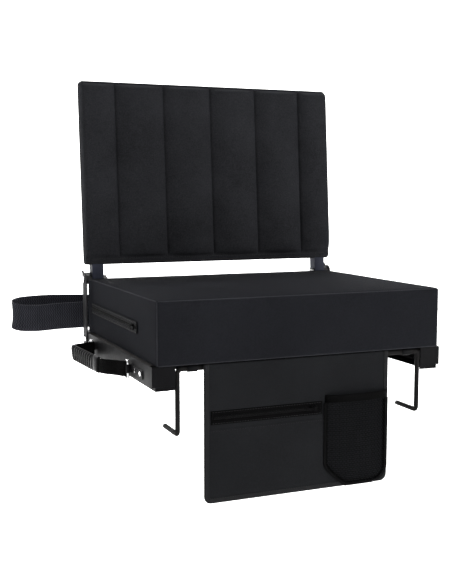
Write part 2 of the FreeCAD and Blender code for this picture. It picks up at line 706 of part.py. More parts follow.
# ---------------------------------------------------------------- zips
def seat_zip_tape():
    """Closed zip tape on the left side of the seat cover."""
    side = "-seat_width / 2"
    z = ("seat_zip_z - seat_zip_tall / 2", "seat_zip_z + seat_zip_tall / 2")
    return node(cuboid(("%s - tape_thick" % side, side), ("seat_zip_front", "seat_zip_rear"), z),
                "seat_zip_tape")


def cheek_spans(middle):
    """Heights of the two cheeks that hold a slider's pin."""
    return (("%s - cheek_high" % middle, "%s - cheek_low" % middle),
            ("%s + cheek_low" % middle, "%s + cheek_high" % middle))


def seat_zip_slider():
    """Zip slider with a bail for its pull, at the front end of the tape."""
    face = "-seat_width / 2 - tape_thick - slider_gap"
    y = ("seat_zip_front + slider_in", "seat_zip_front + slider_in + slider_long")
    z = ("seat_zip_z - slider_tall / 2", "seat_zip_z + slider_tall / 2")
    block = cuboid(("%s - slider_thick" % face, face), y, z)
    pin_x, pin_y = "%s - slider_thick - pin_out" % face, "seat_zip_front + pin_in"
    cheeks = [
        cuboid(("%s - cheek_rim" % pin_x, "%s - slider_thick" % face),
               ("%s - cheek_half" % pin_y, "%s + cheek_half" % pin_y), span)
        for span in cheek_spans("seat_zip_z")
    ]
    pin = rod("z", "pin_radius", ("seat_zip_z - cheek_high", "seat_zip_z + cheek_high"), pin_x, pin_y)
    return node(fuse(block, *cheeks, pin), "seat_zip_slider")


def seat_zip_pull():
    """Pull tab that hinges on the slider's pin and points to the front."""
    pin_x = "-seat_width / 2 - tape_thick - slider_gap - slider_thick - pin_out"
    pin_y = "seat_zip_front + pin_in"
    z = ("seat_zip_z - pull_half", "seat_zip_z + pull_half")
    tab = cuboid(("%s - pull_thick / 2" % pin_x, "%s + pull_thick / 2" % pin_x),
                 ("%s - pull_long" % pin_y, pin_y), z)
    eye, bore = (rod("z", radius, z, pin_x, pin_y) for radius in ("pull_eye", "pull_bore"))
    return node(cut(fuse(eye, tab), bore), "seat_zip_pull")


# ---------------------------------------------------------------- storage flap
FLAP_FRONT = "flap_back - flap_thick"


def bottom_corner(edge):
    """True for the edges through the flap's thickness at its bottom corners."""
    box = edge.BoundBox
    return box.ZMax < size("flap_low") + 0.1 and box.ZLength < 0.1 and box.XLength < 0.1


def flap_panel():
    """Stiffened panel that hangs from the cover's front seam."""
    block = cuboid(("flap_left", "flap_right"), (FLAP_FRONT, "flap_back"),
                   ("flap_low", "frame_height - 0.5"))
    return node(rounded(block, size("flap_corner"), bottom_corner), "flap_panel")


def flap_binding():
    """Edge tape round the sides and the bottom of the flap's face, cut short where the pocket's hem is."""
    front = ("%s - binding_thick" % FLAP_FRONT, FLAP_FRONT)
    outer = cuboid(("flap_left", "flap_right"), front, ("flap_low", "frame_height - 0.5"))
    inner = cuboid(("flap_left + binding_width", "flap_right - binding_width"),
                   ("%s - binding_thick - 1" % FLAP_FRONT, "%s + 1" % FLAP_FRONT),
                   ("flap_low + binding_width", "frame_height + 5"))
    hem = pocket_outline(-size("pocket_hem") / 2, size("pocket_top") + size("band_tall") / 2)
    pocket = feature(hem.extrude(FreeCAD.Vector(0, -size("pocket_deep"), 0)))
    return node(cut(rounded(outer, size("flap_corner"), bottom_corner), inner, pocket), "flap_binding")


def flap_zip_tape():
    """Zip tape of the flat pocket in the flap."""
    return node(cuboid(("zip_left + 1", "zip_right"), ("%s - tape_thick" % FLAP_FRONT, FLAP_FRONT),
                       ("zip_z - zip_tall / 2", "zip_z + zip_tall / 2")), "flap_zip_tape")


FLAP_PIN_X = "zip_right - pin_in + cheek_half"


def flap_zip_slider():
    """Zip slider near the right end of the flap's zip."""
    face = "%s - tape_thick - slider_gap" % FLAP_FRONT
    x = ("%s - slider_long / 2" % FLAP_PIN_X, "%s + slider_long / 2" % FLAP_PIN_X)
    z = ("zip_z - slider_tall / 2", "zip_z + slider_tall / 2")
    block = cuboid(x, ("%s - slider_thick" % face, face), z)
    pin_y = "%s - slider_thick - pin_out" % face
    cheeks = [
        cuboid(("%s - cheek_half" % FLAP_PIN_X, "%s + cheek_half" % FLAP_PIN_X),
               ("%s - cheek_rim" % pin_y, "%s - slider_thick" % face), span)
        for span in cheek_spans("zip_z")
    ]
    pin = rod("z", "pin_radius", ("zip_z - cheek_high", "zip_z + cheek_high"), FLAP_PIN_X, pin_y)
    return node(fuse(block, *cheeks, pin), "flap_zip_slider")


def flap_zip_pull():
    """Pull tab that hinges on the slider's pin and lies to the left."""
    pin_y = "%s - tape_thick - slider_gap - slider_thick - pin_out" % FLAP_FRONT
    z = ("zip_z - pull_half", "zip_z + pull_half")
    tab = cuboid(("%s - pull_long" % FLAP_PIN_X, FLAP_PIN_X),
                 ("%s - pull_thick / 2" % pin_y, "%s + pull_thick / 2" % pin_y), z)
    eye, bore = (rod("z", radius, z, FLAP_PIN_X, pin_y) for radius in ("pull_eye", "pull_bore"))
    return node(cut(fuse(eye, tab), bore), "flap_zip_pull")


# ---------------------------------------------------------------- mesh pocket
def pocket_outline(inset, top):
    """Face of the pocket: straight top and sides, slanted lower left and a round lower right."""
    left, right = size("pocket_left") + inset, size("pocket_right") - inset
    low = size("pocket_low") + inset
    y = size("flap_back") - size("flap_thick")
    slant, round_corner = size("pocket_slant"), size("pocket_round") - inset
    nook = round_corner * (1 - math.sqrt(0.5))
    spots = {
        "a": (left, top), "b": (left, low + slant), "c": (left + slant, low),
        "d": (right - round_corner, low), "e": (right - nook, low + nook), "f": (right, low + round_corner),
        "g": (right, top),
    }
    at = {key: FreeCAD.Vector(px, y, pz) for key, (px, pz) in spots.items()}
    bow = 0.24
    belly = FreeCAD.Vector(left + bow * slant, y, low + bow * slant)
    edges = [
        Part.LineSegment(at["a"], at["b"]).toShape(),
        Part.Arc(at["b"], belly, at["c"]).toShape(),
        Part.LineSegment(at["c"], at["d"]).toShape(),
        Part.Arc(at["d"], at["e"], at["f"]).toShape(),
        Part.LineSegment(at["f"], at["g"]).toShape(),
        Part.LineSegment(at["g"], at["a"]).toShape(),
    ]
    return Part.Face(Part.Wire(edges))


def mesh_pocket():
    """Pocket of stretch mesh, open at the top."""
    deep, skin, top = size("pocket_deep"), size("pocket_skin"), size("pocket_top")
    outer = pocket_outline(0, top).extrude(FreeCAD.Vector(0, -deep, 0))
    inner = pocket_outline(skin, top + 1).extrude(FreeCAD.Vector(0, -deep + skin, 0))
    return node(feature(outer.cut(inner)), "mesh_pocket")


def pocket_band():
    """Elastic band round the pocket's mouth."""
    front = "%s - pocket_deep" % FLAP_FRONT
    z = ("pocket_top - band_tall / 2", "pocket_top + band_tall / 2")
    outside = cuboid(("pocket_left - 1", "pocket_right + 1"), ("%s - 1" % front, FLAP_FRONT), z)
    inside = cuboid(("pocket_left", "pocket_right"), (front, "%s + 1" % FLAP_FRONT), z)
    return node(cut(outside, inside), "pocket_band")


def pocket_hem():
    """Bound hem of the pocket round its lower edge, flat on the flap."""
    thick = size("binding_thick")
    top = size("pocket_top") - size("band_tall") / 2 - 0.5
    outer = pocket_outline(-size("pocket_hem") / 2, top).extrude(FreeCAD.Vector(0, -thick, 0))
    inner = pocket_outline(0, top + 1).extrude(FreeCAD.Vector(0, -thick, 0))
    return node(feature(outer.cut(inner)), "pocket_hem")


def build():
    """Make every sub-part."""
    for side in (-1, 1):
        side_rail(side)
        hinge_bracket(side)
        upright(side)
    rear_cross_rail()
    centre_cross_bar()
    seat_board()
    screws(BOARD_SCREWS, "screw_radius", "screw_head", "frame_height - 1", "board_screws")
    screws(CLIP_SCREWS, "small_screw", "small_head", "frame_height - 1.5", "clip_screws")
    seat_cushion()
    for make in (bracket_rivets, pivot_bolts, pivot_spacers, pivot_lock_nuts, back_stop_pins,
                 upright_bushes):
        make()
    cross_tube("cross_top", "top_cross_tube")
    cross_tube("cross_low", "lower_cross_tube")
    upright_end_caps()
    back_cover()
    back_foam()
    hook_rod()
    hook_clips()
    for make in (handle_webbing, handle_grip, handle_plates, plate_rivets):
        make()
    handle_ring(-1, "front_handle_ring")
    handle_ring(1, "rear_handle_ring")
    for make in (strap_anchors, strap_rivets, shoulder_strap, seat_zip_tape, seat_zip_slider, seat_zip_pull,
                 flap_panel, flap_binding, flap_zip_tape, flap_zip_slider, flap_zip_pull,
                 mesh_pocket, pocket_band, pocket_hem):
        make()


def export():
    """Check every object and write one file for each sub-part."""
    DOC.recompute()
    for thing in DOC.Objects:
        if "Invalid" in thing.State or "Error" in thing.State:
            raise RuntimeError("%s failed" % thing.Label)
    for thing in NODES:
        if thing.Shape.isNull() or not thing.Shape.isValid() or not thing.Shape.Solids:
            raise RuntimeError("%s has no valid solid" % thing.Label)
    os.makedirs("parts", exist_ok=True)
    for thing in NODES:
        thing.Shape.exportStep(os.path.join("parts", thing.Label + ".step"))
        print("%-22s %d solid(s) %10.1f mm3" % (thing.Label, len(thing.Shape.Solids), thing.Shape.Volume))


build()
export()
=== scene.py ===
import json
import math

import bmesh
import bpy
import numpy as np
from mathutils import Matrix, Vector, noise


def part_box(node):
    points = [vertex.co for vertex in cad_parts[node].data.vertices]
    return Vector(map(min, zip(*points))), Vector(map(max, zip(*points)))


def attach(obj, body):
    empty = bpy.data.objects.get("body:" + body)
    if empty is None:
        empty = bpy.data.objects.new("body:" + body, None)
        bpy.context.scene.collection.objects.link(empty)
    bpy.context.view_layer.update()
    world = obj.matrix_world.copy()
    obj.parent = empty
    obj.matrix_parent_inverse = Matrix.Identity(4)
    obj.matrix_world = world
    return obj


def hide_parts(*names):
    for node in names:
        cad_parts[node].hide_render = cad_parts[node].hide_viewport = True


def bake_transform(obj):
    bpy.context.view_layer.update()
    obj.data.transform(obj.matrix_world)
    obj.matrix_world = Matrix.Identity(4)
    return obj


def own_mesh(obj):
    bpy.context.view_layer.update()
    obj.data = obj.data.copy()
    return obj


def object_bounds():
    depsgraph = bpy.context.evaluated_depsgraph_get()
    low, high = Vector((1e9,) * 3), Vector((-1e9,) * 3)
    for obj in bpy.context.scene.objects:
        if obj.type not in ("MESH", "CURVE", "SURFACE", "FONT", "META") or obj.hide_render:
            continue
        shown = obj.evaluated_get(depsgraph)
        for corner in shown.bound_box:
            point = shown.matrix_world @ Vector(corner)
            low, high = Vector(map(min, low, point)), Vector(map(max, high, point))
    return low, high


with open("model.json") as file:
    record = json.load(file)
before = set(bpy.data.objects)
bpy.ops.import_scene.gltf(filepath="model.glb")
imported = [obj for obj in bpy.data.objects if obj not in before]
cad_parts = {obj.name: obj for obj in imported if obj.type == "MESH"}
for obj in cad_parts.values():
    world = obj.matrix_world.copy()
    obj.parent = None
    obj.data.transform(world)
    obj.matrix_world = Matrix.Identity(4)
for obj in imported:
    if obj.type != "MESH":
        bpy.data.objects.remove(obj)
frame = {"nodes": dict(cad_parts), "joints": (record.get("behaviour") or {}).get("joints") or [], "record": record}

# Looks of a folding stadium seat. Metres, in the row frame: the front faces -Y and Z is up.
# The bench is at Z = 0.
CAD_BOX = [list(corner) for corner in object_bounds()]
MM = 0.001
SCENE = bpy.context.scene
JOINTS = {joint["name"]: joint for joint in frame["joints"]}
NODES = frame["nodes"]

RECLINE = math.radians(4.5)
PIVOT = Vector(JOINTS["back_fold"]["pos_m"])
LEAN = Matrix.Translation(PIVOT) @ Matrix.Rotation(-RECLINE, 4, "X")


# ---- camera, lights and floor
def placed(name, data):
    """A new object in the scene."""
    thing = bpy.data.objects.new(name, data)
    SCENE.collection.objects.link(thing)
    return thing


def make_camera():
    """The camera stands to the front left of the seat and looks slightly down."""
    data = bpy.data.cameras.new("camera")
    data.lens = 57.8
    data.sensor_width = 36
    camera = placed("camera", data)
    camera.location = (-0.6956, -1.5272, 0.3041)
    camera.rotation_euler = (math.radians(83.86), 0, math.radians(-22.66))
    SCENE.camera = camera


def make_light(name, place, target, size, power):
    """A square soft light that points at a target."""
    data = bpy.data.lights.new(name, "AREA")
    data.size = size
    data.energy = power
    light = placed(name, data)
    light.location = place
    light.rotation_euler = (Vector(target) - Vector(place)).to_track_quat("-Z", "Y").to_euler()


def make_studio():
    """White surroundings, four soft lights and a pale floor that rises behind the seat."""
    world = bpy.data.worlds.new("studio")
    world.use_nodes = True
    sky = world.node_tree.nodes["Background"].inputs
    sky["Color"].default_value = (1, 1, 1, 1)
    sky["Strength"].default_value = 0.28
    SCENE.world = world
    SCENE.view_settings.view_transform = "Standard"
    make_light("key", (2.3, -2.3, 0.8), (0.1, 0, 0.15), 1.9, 64)
    make_light("top", (0.4, -1.0, 2.8), (0, 0, 0.1), 1.8, 10)
    make_light("side", (-2.6, 0.9, 0.9), (0, 0, 0.1), 1.6, 3)
    make_light("wall_wash", (0, 1.6, 2.6), (0.6, 3.8, 0.4), 2.6, 300)
    low = CAD_BOX[0][2] - 0.14
    sweep_up, top_edge, half_width = 1.2, 6.0, 9.0
    outline = [(-5.0, low), (2.6, low)]
    outline += [(2.6 + sweep_up * math.sin(a), low + sweep_up * (1 - math.cos(a)))
                for a in np.linspace(0, math.pi / 2, 12)]
    outline.append((2.6 + sweep_up, top_edge))
    verts = [(side * half_width, y, z) for y, z in outline for side in (-1, 1)]
    faces = [(2 * i, 2 * i + 1, 2 * i + 3, 2 * i + 2) for i in range(len(outline) - 1)]
    paper = Graph("studio_paper", (0.94, 0.94, 0.94), 0.95, specular=0.05)
    paper.main.inputs["Emission Color"].default_value = (1, 1, 1, 1)
    paper.main.inputs["Emission Strength"].default_value = 0.42
    MATERIALS["studio_paper"] = paper.material
    mesh_object("floor", verts, faces, "studio_paper")


# ---- materials
class Graph:
    """A principled material and short calls for wiring its nodes. Constants stay on its own sockets."""

    def __init__(self, name, colour, roughness, metal=0.0, specular=0.5):
        self.material = bpy.data.materials.new(name)
        self.material.use_nodes = True
        self.tree = self.material.node_tree
        self.main = self.tree.nodes["Principled BSDF"]
        self.main.inputs["Base Color"].default_value = (*colour, 1)
        self.main.inputs["Roughness"].default_value = roughness
        self.main.inputs["Metallic"].default_value = metal
        self.main.inputs["Specular IOR Level"].default_value = specular

    def node(self, kind, **settings):
        made = self.tree.nodes.new(kind)
        for key, value in settings.items():
            setattr(made, key, value)
        return made

    def link(self, output, target):
        self.tree.links.new(output, target)

    def place(self, attribute=None):
        """Coordinates in metres: the object's own, or a named attribute of the mesh."""
        if attribute:
            return self.node("ShaderNodeAttribute", attribute_name=attribute).outputs["Vector"]
        return self.node("ShaderNodeTexCoord").outputs["Object"]

    def scaled(self, vector, factors):
        mapping = self.node("ShaderNodeMapping")
        mapping.inputs["Scale"].default_value = factors
        self.link(vector, mapping.inputs["Vector"])
        return mapping.outputs["Vector"]

    def noise(self, vector, scale, detail=3.0, rough=0.55):
        made = self.node("ShaderNodeTexNoise")
        made.inputs["Scale"].default_value = scale
        made.inputs["Detail"].default_value = detail
        made.inputs["Roughness"].default_value = rough
        self.link(vector, made.inputs["Vector"])
        return made.outputs["Fac"]

    def math(self, operation, *values):
        made = self.node("ShaderNodeMath", operation=operation)
        for socket, value in zip(made.inputs, values):
            if isinstance(value, (int, float)):
                socket.default_value = value
            else:
                self.link(value, socket)
        return made.outputs[0]

    def mixed(self, first, share, second, rest):
        """Sum of two values, each times its own factor."""
        return self.math("ADD", self.math("MULTIPLY", first, share), self.math("MULTIPLY", second, rest))

    def ramp(self, value, low, high, start, end):
        """Colour or grey between two values as the input goes from start to end."""
        made = self.node("ShaderNodeValToRGB")
        made.color_ramp.elements[0].position = start
        made.color_ramp.elements[1].position = end
        made.color_ramp.elements[0].color = (*low, 1)
        made.color_ramp.elements[1].color = (*high, 1)
        self.link(value, made.inputs["Fac"])
        return made.outputs["Color"]

    def shade(self, value, colour, low, high, start, end):
        """Base colour from one tint to another as the value goes from start to end."""
        self.link(self.ramp(value, tint(colour, low), tint(colour, high), start, end),
                  self.main.inputs["Base Color"])

    def dull(self, value, low, high, start, end):
        """Roughness from low to high as the value goes from start to end."""
        self.link(self.ramp(value, (low,) * 3, (high,) * 3, start, end), self.main.inputs["Roughness"])

    def relief(self, height, distance, strength, after=None):
        """The surface's own bumps."""
        self.link(self.bump(height, distance, strength, after), self.main.inputs["Normal"])

    def bump(self, height, distance, strength, after=None):
        made = self.node("ShaderNodeBump")
        made.inputs["Distance"].default_value = distance
        made.inputs["Strength"].default_value = strength
        self.link(height, made.inputs["Height"])
        if after is not None:
            self.link(after, made.inputs["Normal"])
        return made.outputs["Normal"]


def tint(colour, factor):
    return tuple(min(1.0, channel * factor) for channel in colour)


def weave(graph, vector, pitch):
    """Sum of sines along three axes: a square weave on every face that lies across an axis."""
    spread = graph.node("ShaderNodeSeparateXYZ")
    graph.link(graph.scaled(vector, (2 * math.pi / pitch,) * 3), spread.inputs[0])
    waves = [graph.math("SINE", output) for output in spread.outputs]
    return graph.math("ADD", graph.math("ADD", waves[0], waves[1]), waves[2])


def cloth_material(name, colour, variation=0.16):
    """Coated polyester: fine square weave, soft creases and slightly uneven dye."""
    pitch, roughness = 0.9 * MM, 0.9
    graph = Graph(name, colour, roughness, specular=0.02)
    place = graph.place()
    threads = weave(graph, place, pitch)
    soft = graph.noise(place, 9, 4)
    fine = graph.noise(place, 420, 2)
    graph.shade(graph.mixed(soft, 0.45, fine, 0.55), colour, 1 - variation, 1 + variation, 0.35, 0.65)
    graph.dull(fine, roughness - 0.07, roughness + 0.08, 0.3, 0.7)
    creases = graph.bump(graph.noise(place, 38, 3), 0.5 * MM, 0.35)
    graph.relief(threads, 0.05 * MM, 0.8, creases)
    return graph.material


def webbing_material(name, colour, rib, across, contrast, specular=0.12):
    """Woven strap. The mesh carries the attribute flat: along the strap, across it, and its side."""
    graph = Graph(name, colour, 0.65, specular=specular)
    flat = graph.place("flat")
    parts = graph.node("ShaderNodeSeparateXYZ")
    graph.link(flat, parts.inputs[0])
    along, over = parts.outputs[0], parts.outputs[1]
    zigzag = graph.math("PINGPONG", over, across)
    shifted = graph.math("ADD", along, graph.math("MULTIPLY", zigzag, 0.8))
    chevrons = graph.math("SINE", graph.math("MULTIPLY", shifted, 2 * math.pi / rib))
    cords = graph.math("SINE", graph.math("MULTIPLY", over, 2 * math.pi / (across / 2)))
    height = graph.math("ADD", chevrons, graph.math("MULTIPLY", cords, 0.6))
    # Colour follows the weave's height: raised cords lighter and hollows darker, painted shade in the weave, mixed
    # with uneven tone.
    level = graph.math("MULTIPLY_ADD", height, 0.25, 0.5)
    soft = graph.noise(graph.place(), 30, 3)
    graph.shade(graph.mixed(level, 0.7, soft, 0.3), colour, 1 - contrast, 1 + 2 * contrast, 0.2, 0.9)
    graph.relief(height, 0.14 * MM, 0.9)
    return graph.material


def paint_material(name, colour, roughness, specular, texture=0.04 * MM):
    """Powder coat or enamel on steel: fine orange peel and faint handling marks."""
    graph = Graph(name, colour, roughness, specular=specular)
    place = graph.place()
    marks = graph.noise(place, 26, 5, 0.65)
    graph.shade(marks, colour, 0.85, 1.2, 0.35, 0.7)
    graph.dull(marks, roughness - 0.06, roughness + 0.1, 0.3, 0.75)
    graph.relief(graph.noise(place, 1400, 2), texture, 0.6)
    return graph.material


def metal_material(name, colour, roughness):
    """Bare or plated metal with a fine grain and a little dulling."""
    graph = Graph(name, colour, roughness, metal=1.0)
    place = graph.place()
    graph.shade(graph.noise(place, 60, 4), colour, 0.8, 1, 0.3, 0.6)
    graph.dull(graph.noise(place, 700, 2), roughness * 0.7, roughness * 1.5, 0.3, 0.7)
    return graph.material


def rubber_material(name, colour, roughness, specular=0.3):
    """Moulded rubber or nylon with a faint grain and handling shine."""
    graph = Graph(name, colour, roughness, specular=specular)
    place = graph.place()
    wear = graph.noise(place, 55, 4)
    graph.shade(wear, colour, 0.8, 1.3, 0.3, 0.7)
    graph.dull(wear, roughness - 0.08, roughness + 0.12, 0.3, 0.7)
    graph.relief(graph.noise(place, 1800, 2), 0.05 * MM, 0.5)
    return graph.material


def wood_material():
    """Plywood stained black: long grain on the faces and thin plies at the edges."""
    colour = (0.020, 0.018, 0.017)
    graph = Graph("plywood", colour, 0.75, specular=0.2)
    place = graph.place()
    grain = graph.noise(graph.scaled(place, (3, 60, 60)), 6, 5, 0.6)
    plies = graph.node("ShaderNodeSeparateXYZ")
    graph.link(place, plies.inputs[0])
    bands = graph.math("SINE", graph.math("MULTIPLY", plies.outputs[2], 2 * math.pi / (2.6 * MM)))
    graph.shade(graph.mixed(grain, 0.8, bands, 0.1), colour, 0.6, 1.35, 0.25, 0.65)
    graph.relief(grain, 0.2 * MM, 0.4)
    return graph.material


def make_materials():
    """Every finish, under the record's slot names where it has one."""
    cloth, strap, paint, metal, rubber = (cloth_material, webbing_material, paint_material,
                                          metal_material, rubber_material)
    finishes = {
        "seat_fabric": (cloth, (0.0142, 0.0148, 0.0176)),
        # Lighter fabric for the cushion's welts: a painted highlight along its rounded edges.
        "seat_edge": (cloth, (0.0345, 0.0352, 0.0400)),
        "back_fabric": (cloth, (0.0228, 0.0234, 0.0262), 0.3),
        "flap_fabric": (cloth, (0.0150, 0.0156, 0.0170)),
        "webbing": (strap, (0.0250, 0.0258, 0.0320), 4.4 * MM, 3.4 * MM, 0.75, 0.08),
        "binding_tape": (strap, (0.0140, 0.0142, 0.0152), 0.9 * MM, 9 * MM, 0.15),
        "hem_tape": (strap, (0.0045, 0.0045, 0.0048), 0.9 * MM, 9 * MM, 0.2, 0.04),
        "elastic": (strap, (0.0030, 0.0030, 0.0031), 1.1 * MM, 40 * MM, 0.3, 0.02),
        "zip_tape": (strap, (0.0034, 0.0034, 0.0036), 0.8 * MM, 6 * MM, 0.2, 0.02),
        "seat_zip_tape": (strap, (0.0150, 0.0152, 0.0162), 0.8 * MM, 6 * MM, 0.3, 0.02),
        "zip_coil": (rubber, (0.0050, 0.0050, 0.0053), 0.5, 0.08),
        "pocket_mesh": (rubber, (0.0016, 0.0016, 0.0018), 0.75, 0.02),
        "thread": (rubber, (0.0105, 0.0105, 0.0115), 0.6),
        "frame_steel": (paint, (0.0070, 0.0070, 0.0078), 0.5, 0.045),
        "tube_paint": (paint, (0.034, 0.037, 0.052), 0.34, 0.03),
        "hook_steel": (paint, (0.0150, 0.0145, 0.0145), 0.45, 0.01, 0.02 * MM),
        "zinc_steel": (metal, (0.55, 0.55, 0.54), 0.32),
        "chrome_metal": (metal, (0.86, 0.86, 0.87), 0.1),
        "zip_metal": (paint, (0.006, 0.006, 0.0062), 0.5, 0.01, 0.02 * MM),
        "bracket_steel": (paint, (0.046, 0.046, 0.048), 0.5, 0.02),
        "black_nylon": (rubber, (0.014, 0.014, 0.015), 0.45),
        "grip_rubber": (rubber, (0.0085, 0.0085, 0.0088), 0.3, 0.028),
        "handle_strap": (strap, (0.0030, 0.0030, 0.0031), 1.0 * MM, 9 * MM, 0.3, 0.02),
    }
    made = {name: make(name, *values) for name, (make, *values) in finishes.items()}
    made["board_wood"] = wood_material()
    return made


# ---- mesh helpers
def mesh_object(name, verts, faces, finish):
    """A smooth mesh object with outward normals."""
    mesh = bpy.data.meshes.new(name)
    mesh.from_pydata([tuple(map(float, v)) for v in verts], [], [tuple(map(int, f)) for f in faces])
    mesh.materials.append(MATERIALS[finish])
    made = bmesh.new()
    made.from_mesh(mesh)
    bmesh.ops.recalc_face_normals(made, faces=made.faces)
    made.to_mesh(mesh)
    made.free()
    for polygon in mesh.polygons:
        polygon.use_smooth = True
    return placed(name, mesh)


def coordinates(thing):
    flat = np.zeros(len(thing.data.vertices) * 3)
    thing.data.vertices.foreach_get("co", flat)
    return flat.reshape(-1, 3)


def set_coordinates(thing, points):
    thing.data.vertices.foreach_set("co", np.asarray(points, float).ravel())
    thing.data.update()


def subdivided(thing):
    """One smooth subdivision in the viewport and when rendered."""
    modifier = thing.modifiers.new("smooth", "SUBSURF")
    modifier.levels = 1
    modifier.render_levels = 1


def grid_lines(low, high, step, extra=()):
    """Even lines from low to high, with extra lines in place of any that they crowd."""
    count = max(1, round((high - low) / step))
    lines = [low + (high - low) * i / count for i in range(count + 1)]
    crowded = [v for v in lines[1:-1] if all(abs(v - e) > 0.45 * step for e in extra)]
    return np.array(sorted({lines[0], lines[-1], *crowded, *[e for e in extra if low < e < high]}))


class Block:
    """Closed box of quads with round edges, on chosen grid lines."""

    def __init__(self, low, high, radius, steps, extra=((), (), ())):
        low, high = np.array(low, float), np.array(high, float)
        inner_low, inner_high = low + radius, high - radius
        angles = [math.tan(math.radians(45) * i / 4) * radius for i in range(1, 5)]
        axes = []
        for a in range(3):
            flat = grid_lines(inner_low[a], inner_high[a], steps[a], extra[a])
            axes.append([inner_low[a] - t for t in reversed(angles)] + list(flat)
                        + [inner_high[a] + t for t in angles])
        index, points = {}, []

        def vertex(i, j, k):
            key = (i, j, k)
            if key not in index:
                index[key] = len(points)
                points.append((axes[0][i], axes[1][j], axes[2][k]))
            return index[key]

        faces = []
        counts = [len(axis) for axis in axes]
        for a in range(3):
            b, c = (a + 1) % 3, (a + 2) % 3
            for side in (0, counts[a] - 1):
                for i in range(counts[b] - 1):
                    for j in range(counts[c] - 1):
                        corner = []
                        for di, dj in ((0, 0), (1, 0), (1, 1), (0, 1)):
                            spot = [0, 0, 0]
                            spot[a], spot[b], spot[c] = side, i + di, j + dj
                            corner.append(vertex(*spot))
                        faces.append(corner)
        raw = np.array(points)
        core = np.clip(raw, inner_low, inner_high)
        out = raw - core
        self.normals = out / np.linalg.norm(out, axis=1)[:, None]
        self.points = core + self.normals * radius
        self.faces = faces


def bumps(points, scale, seed=0.0):
    """Smooth noise from -1 to 1 at each point."""
    return np.array([noise.noise(Vector((x * scale + seed, y * scale, z * scale))) for x, y, z in points])


def inflate(piece, pinned, pressure, cap, spare=0.0, share=1.0):
    """Blow a closed fabric shell up a little with cloth simulation and keep a capped share of it."""
    frames = 16
    start = coordinates(piece)
    group = piece.vertex_groups.new(name="pinned")
    for i in np.nonzero(pinned > 0.01)[0]:
        group.add([int(i)], float(pinned[i]), "REPLACE")
    cloth = piece.modifiers.new("cloth", "CLOTH")
    settings = {
        "quality": 5, "mass": 0.25, "tension_stiffness": 40, "compression_stiffness": 40,
        "shear_stiffness": 12, "bending_stiffness": 0.4, "shrink_min": -spare, "use_pressure": True,
        "uniform_pressure_force": pressure, "vertex_group_mass": "pinned",
    }
    for key, value in settings.items():
        setattr(cloth.settings, key, value)
    cloth.settings.effector_weights.gravity = 0
    cloth.point_cache.frame_start = 1
    cloth.point_cache.frame_end = frames
    for number in range(1, frames + 1):
        SCENE.frame_set(number)
    view = bpy.context.evaluated_depsgraph_get()
    settled = np.zeros(len(start) * 3)
    piece.evaluated_get(view).data.vertices.foreach_get("co", settled)
    piece.modifiers.remove(cloth)
    piece.vertex_groups.remove(group)
    SCENE.frame_set(1)
    moved = settled.reshape(-1, 3) - start
    far = np.linalg.norm(moved, axis=1)
    scale = np.where(far > 1e-9, cap * np.tanh(far / cap) / np.maximum(far, 1e-9), 0) * share
    set_coordinates(piece, start + moved * scale[:, None])


def smooth_path(points, count, closed=False):
    """Evenly spread points along a smooth curve through the given ones."""
    line = bpy.data.curves.new("path", "CURVE")
    line.dimensions = "3D"
    spline = line.splines.new("BEZIER")
    spline.bezier_points.add(len(points) - 1)
    for spot, place in zip(spline.bezier_points, points):
        spot.co = place
        spot.handle_left_type = spot.handle_right_type = "AUTO"
    spline.use_cyclic_u = closed
    spline.resolution_u = 24
    holder = bpy.data.objects.new("path", line)
    mesh = bpy.data.meshes.new_from_object(holder)
    dense = np.array([v.co for v in mesh.vertices])
    if closed:
        dense = np.vstack([dense, dense[:1]])
    bpy.data.meshes.remove(mesh)
    bpy.data.objects.remove(holder)
    bpy.data.curves.remove(line)
    return even_path(dense, count, closed)


def even_path(dense, count, closed=False):
    """The path's points spread evenly over its length."""
    dense = np.asarray(dense, float)
    run = np.concatenate([[0], np.cumsum(np.linalg.norm(np.diff(dense, axis=0), axis=1))])
    places = np.linspace(0, run[-1], count, not closed)
    return np.column_stack([np.interp(places, run, dense[:, a]) for a in range(3)])


def path_frames(path, up, closed=False):
    """Direction, side and up vectors at each point of a path."""
    if closed:
        along = np.roll(path, -1, axis=0) - np.roll(path, 1, axis=0)
    else:
        along = np.gradient(path, axis=0)
    along /= np.linalg.norm(along, axis=1)[:, None]
    ups = np.broadcast_to(np.asarray(up, float), path.shape)
    side = np.cross(along, ups)
    side /= np.linalg.norm(side, axis=1)[:, None]
    return along, side, np.cross(side, along)


def tube_faces(count, ring, base=0, closed=False):
    """Quads between rings of points. Unless the tube closes on itself, a face shuts each end."""
    faces = []
    for i in range(count if closed else count - 1):
        here, there = base + i * ring, base + (i + 1) % count * ring
        for j in range(ring):
            k = (j + 1) % ring
            faces.append((here + j, here + k, there + k, there + j))
    if not closed:
        last = base + (count - 1) * ring
        faces += [tuple(base + j for j in range(ring)), tuple(last + j for j in reversed(range(ring)))]
    return faces


def sweep(name, path, profile, up, finish, closed=False):
    """Closed tube whose profile of (side, up) points follows a path.

    Its attribute flat is the strap's own plan: along it, across it, and its side.
    """
    path = np.asarray(path, float)
    profile = np.asarray(profile, float)
    _, side, upward = path_frames(path, up, closed)
    count, ring = len(path), len(profile)
    verts = (path[:, None] + side[:, None] * profile[None, :, :1]
             + upward[:, None] * profile[None, :, 1:]).reshape(-1, 3)
    thing = mesh_object(name, verts, tube_faces(count, ring, closed=closed), finish)
    run = np.concatenate([[0], np.cumsum(np.linalg.norm(np.diff(path, axis=0), axis=1))])
    flat = np.zeros((count, ring, 3))
    flat[:, :, 0] = run[:, None]
    flat[:, :, 1] = profile[None, :, 1]
    flat[:, :, 2] = profile[None, :, 0]
    attribute = thing.data.attributes.new("flat", "FLOAT_VECTOR", "POINT")
    attribute.data.foreach_set("vector", flat.astype(np.float32).ravel())
    return thing


def round_profile(radius):
    return [(radius * math.cos(a), radius * math.sin(a)) for a in np.linspace(0, 2 * math.pi, 8, False)]


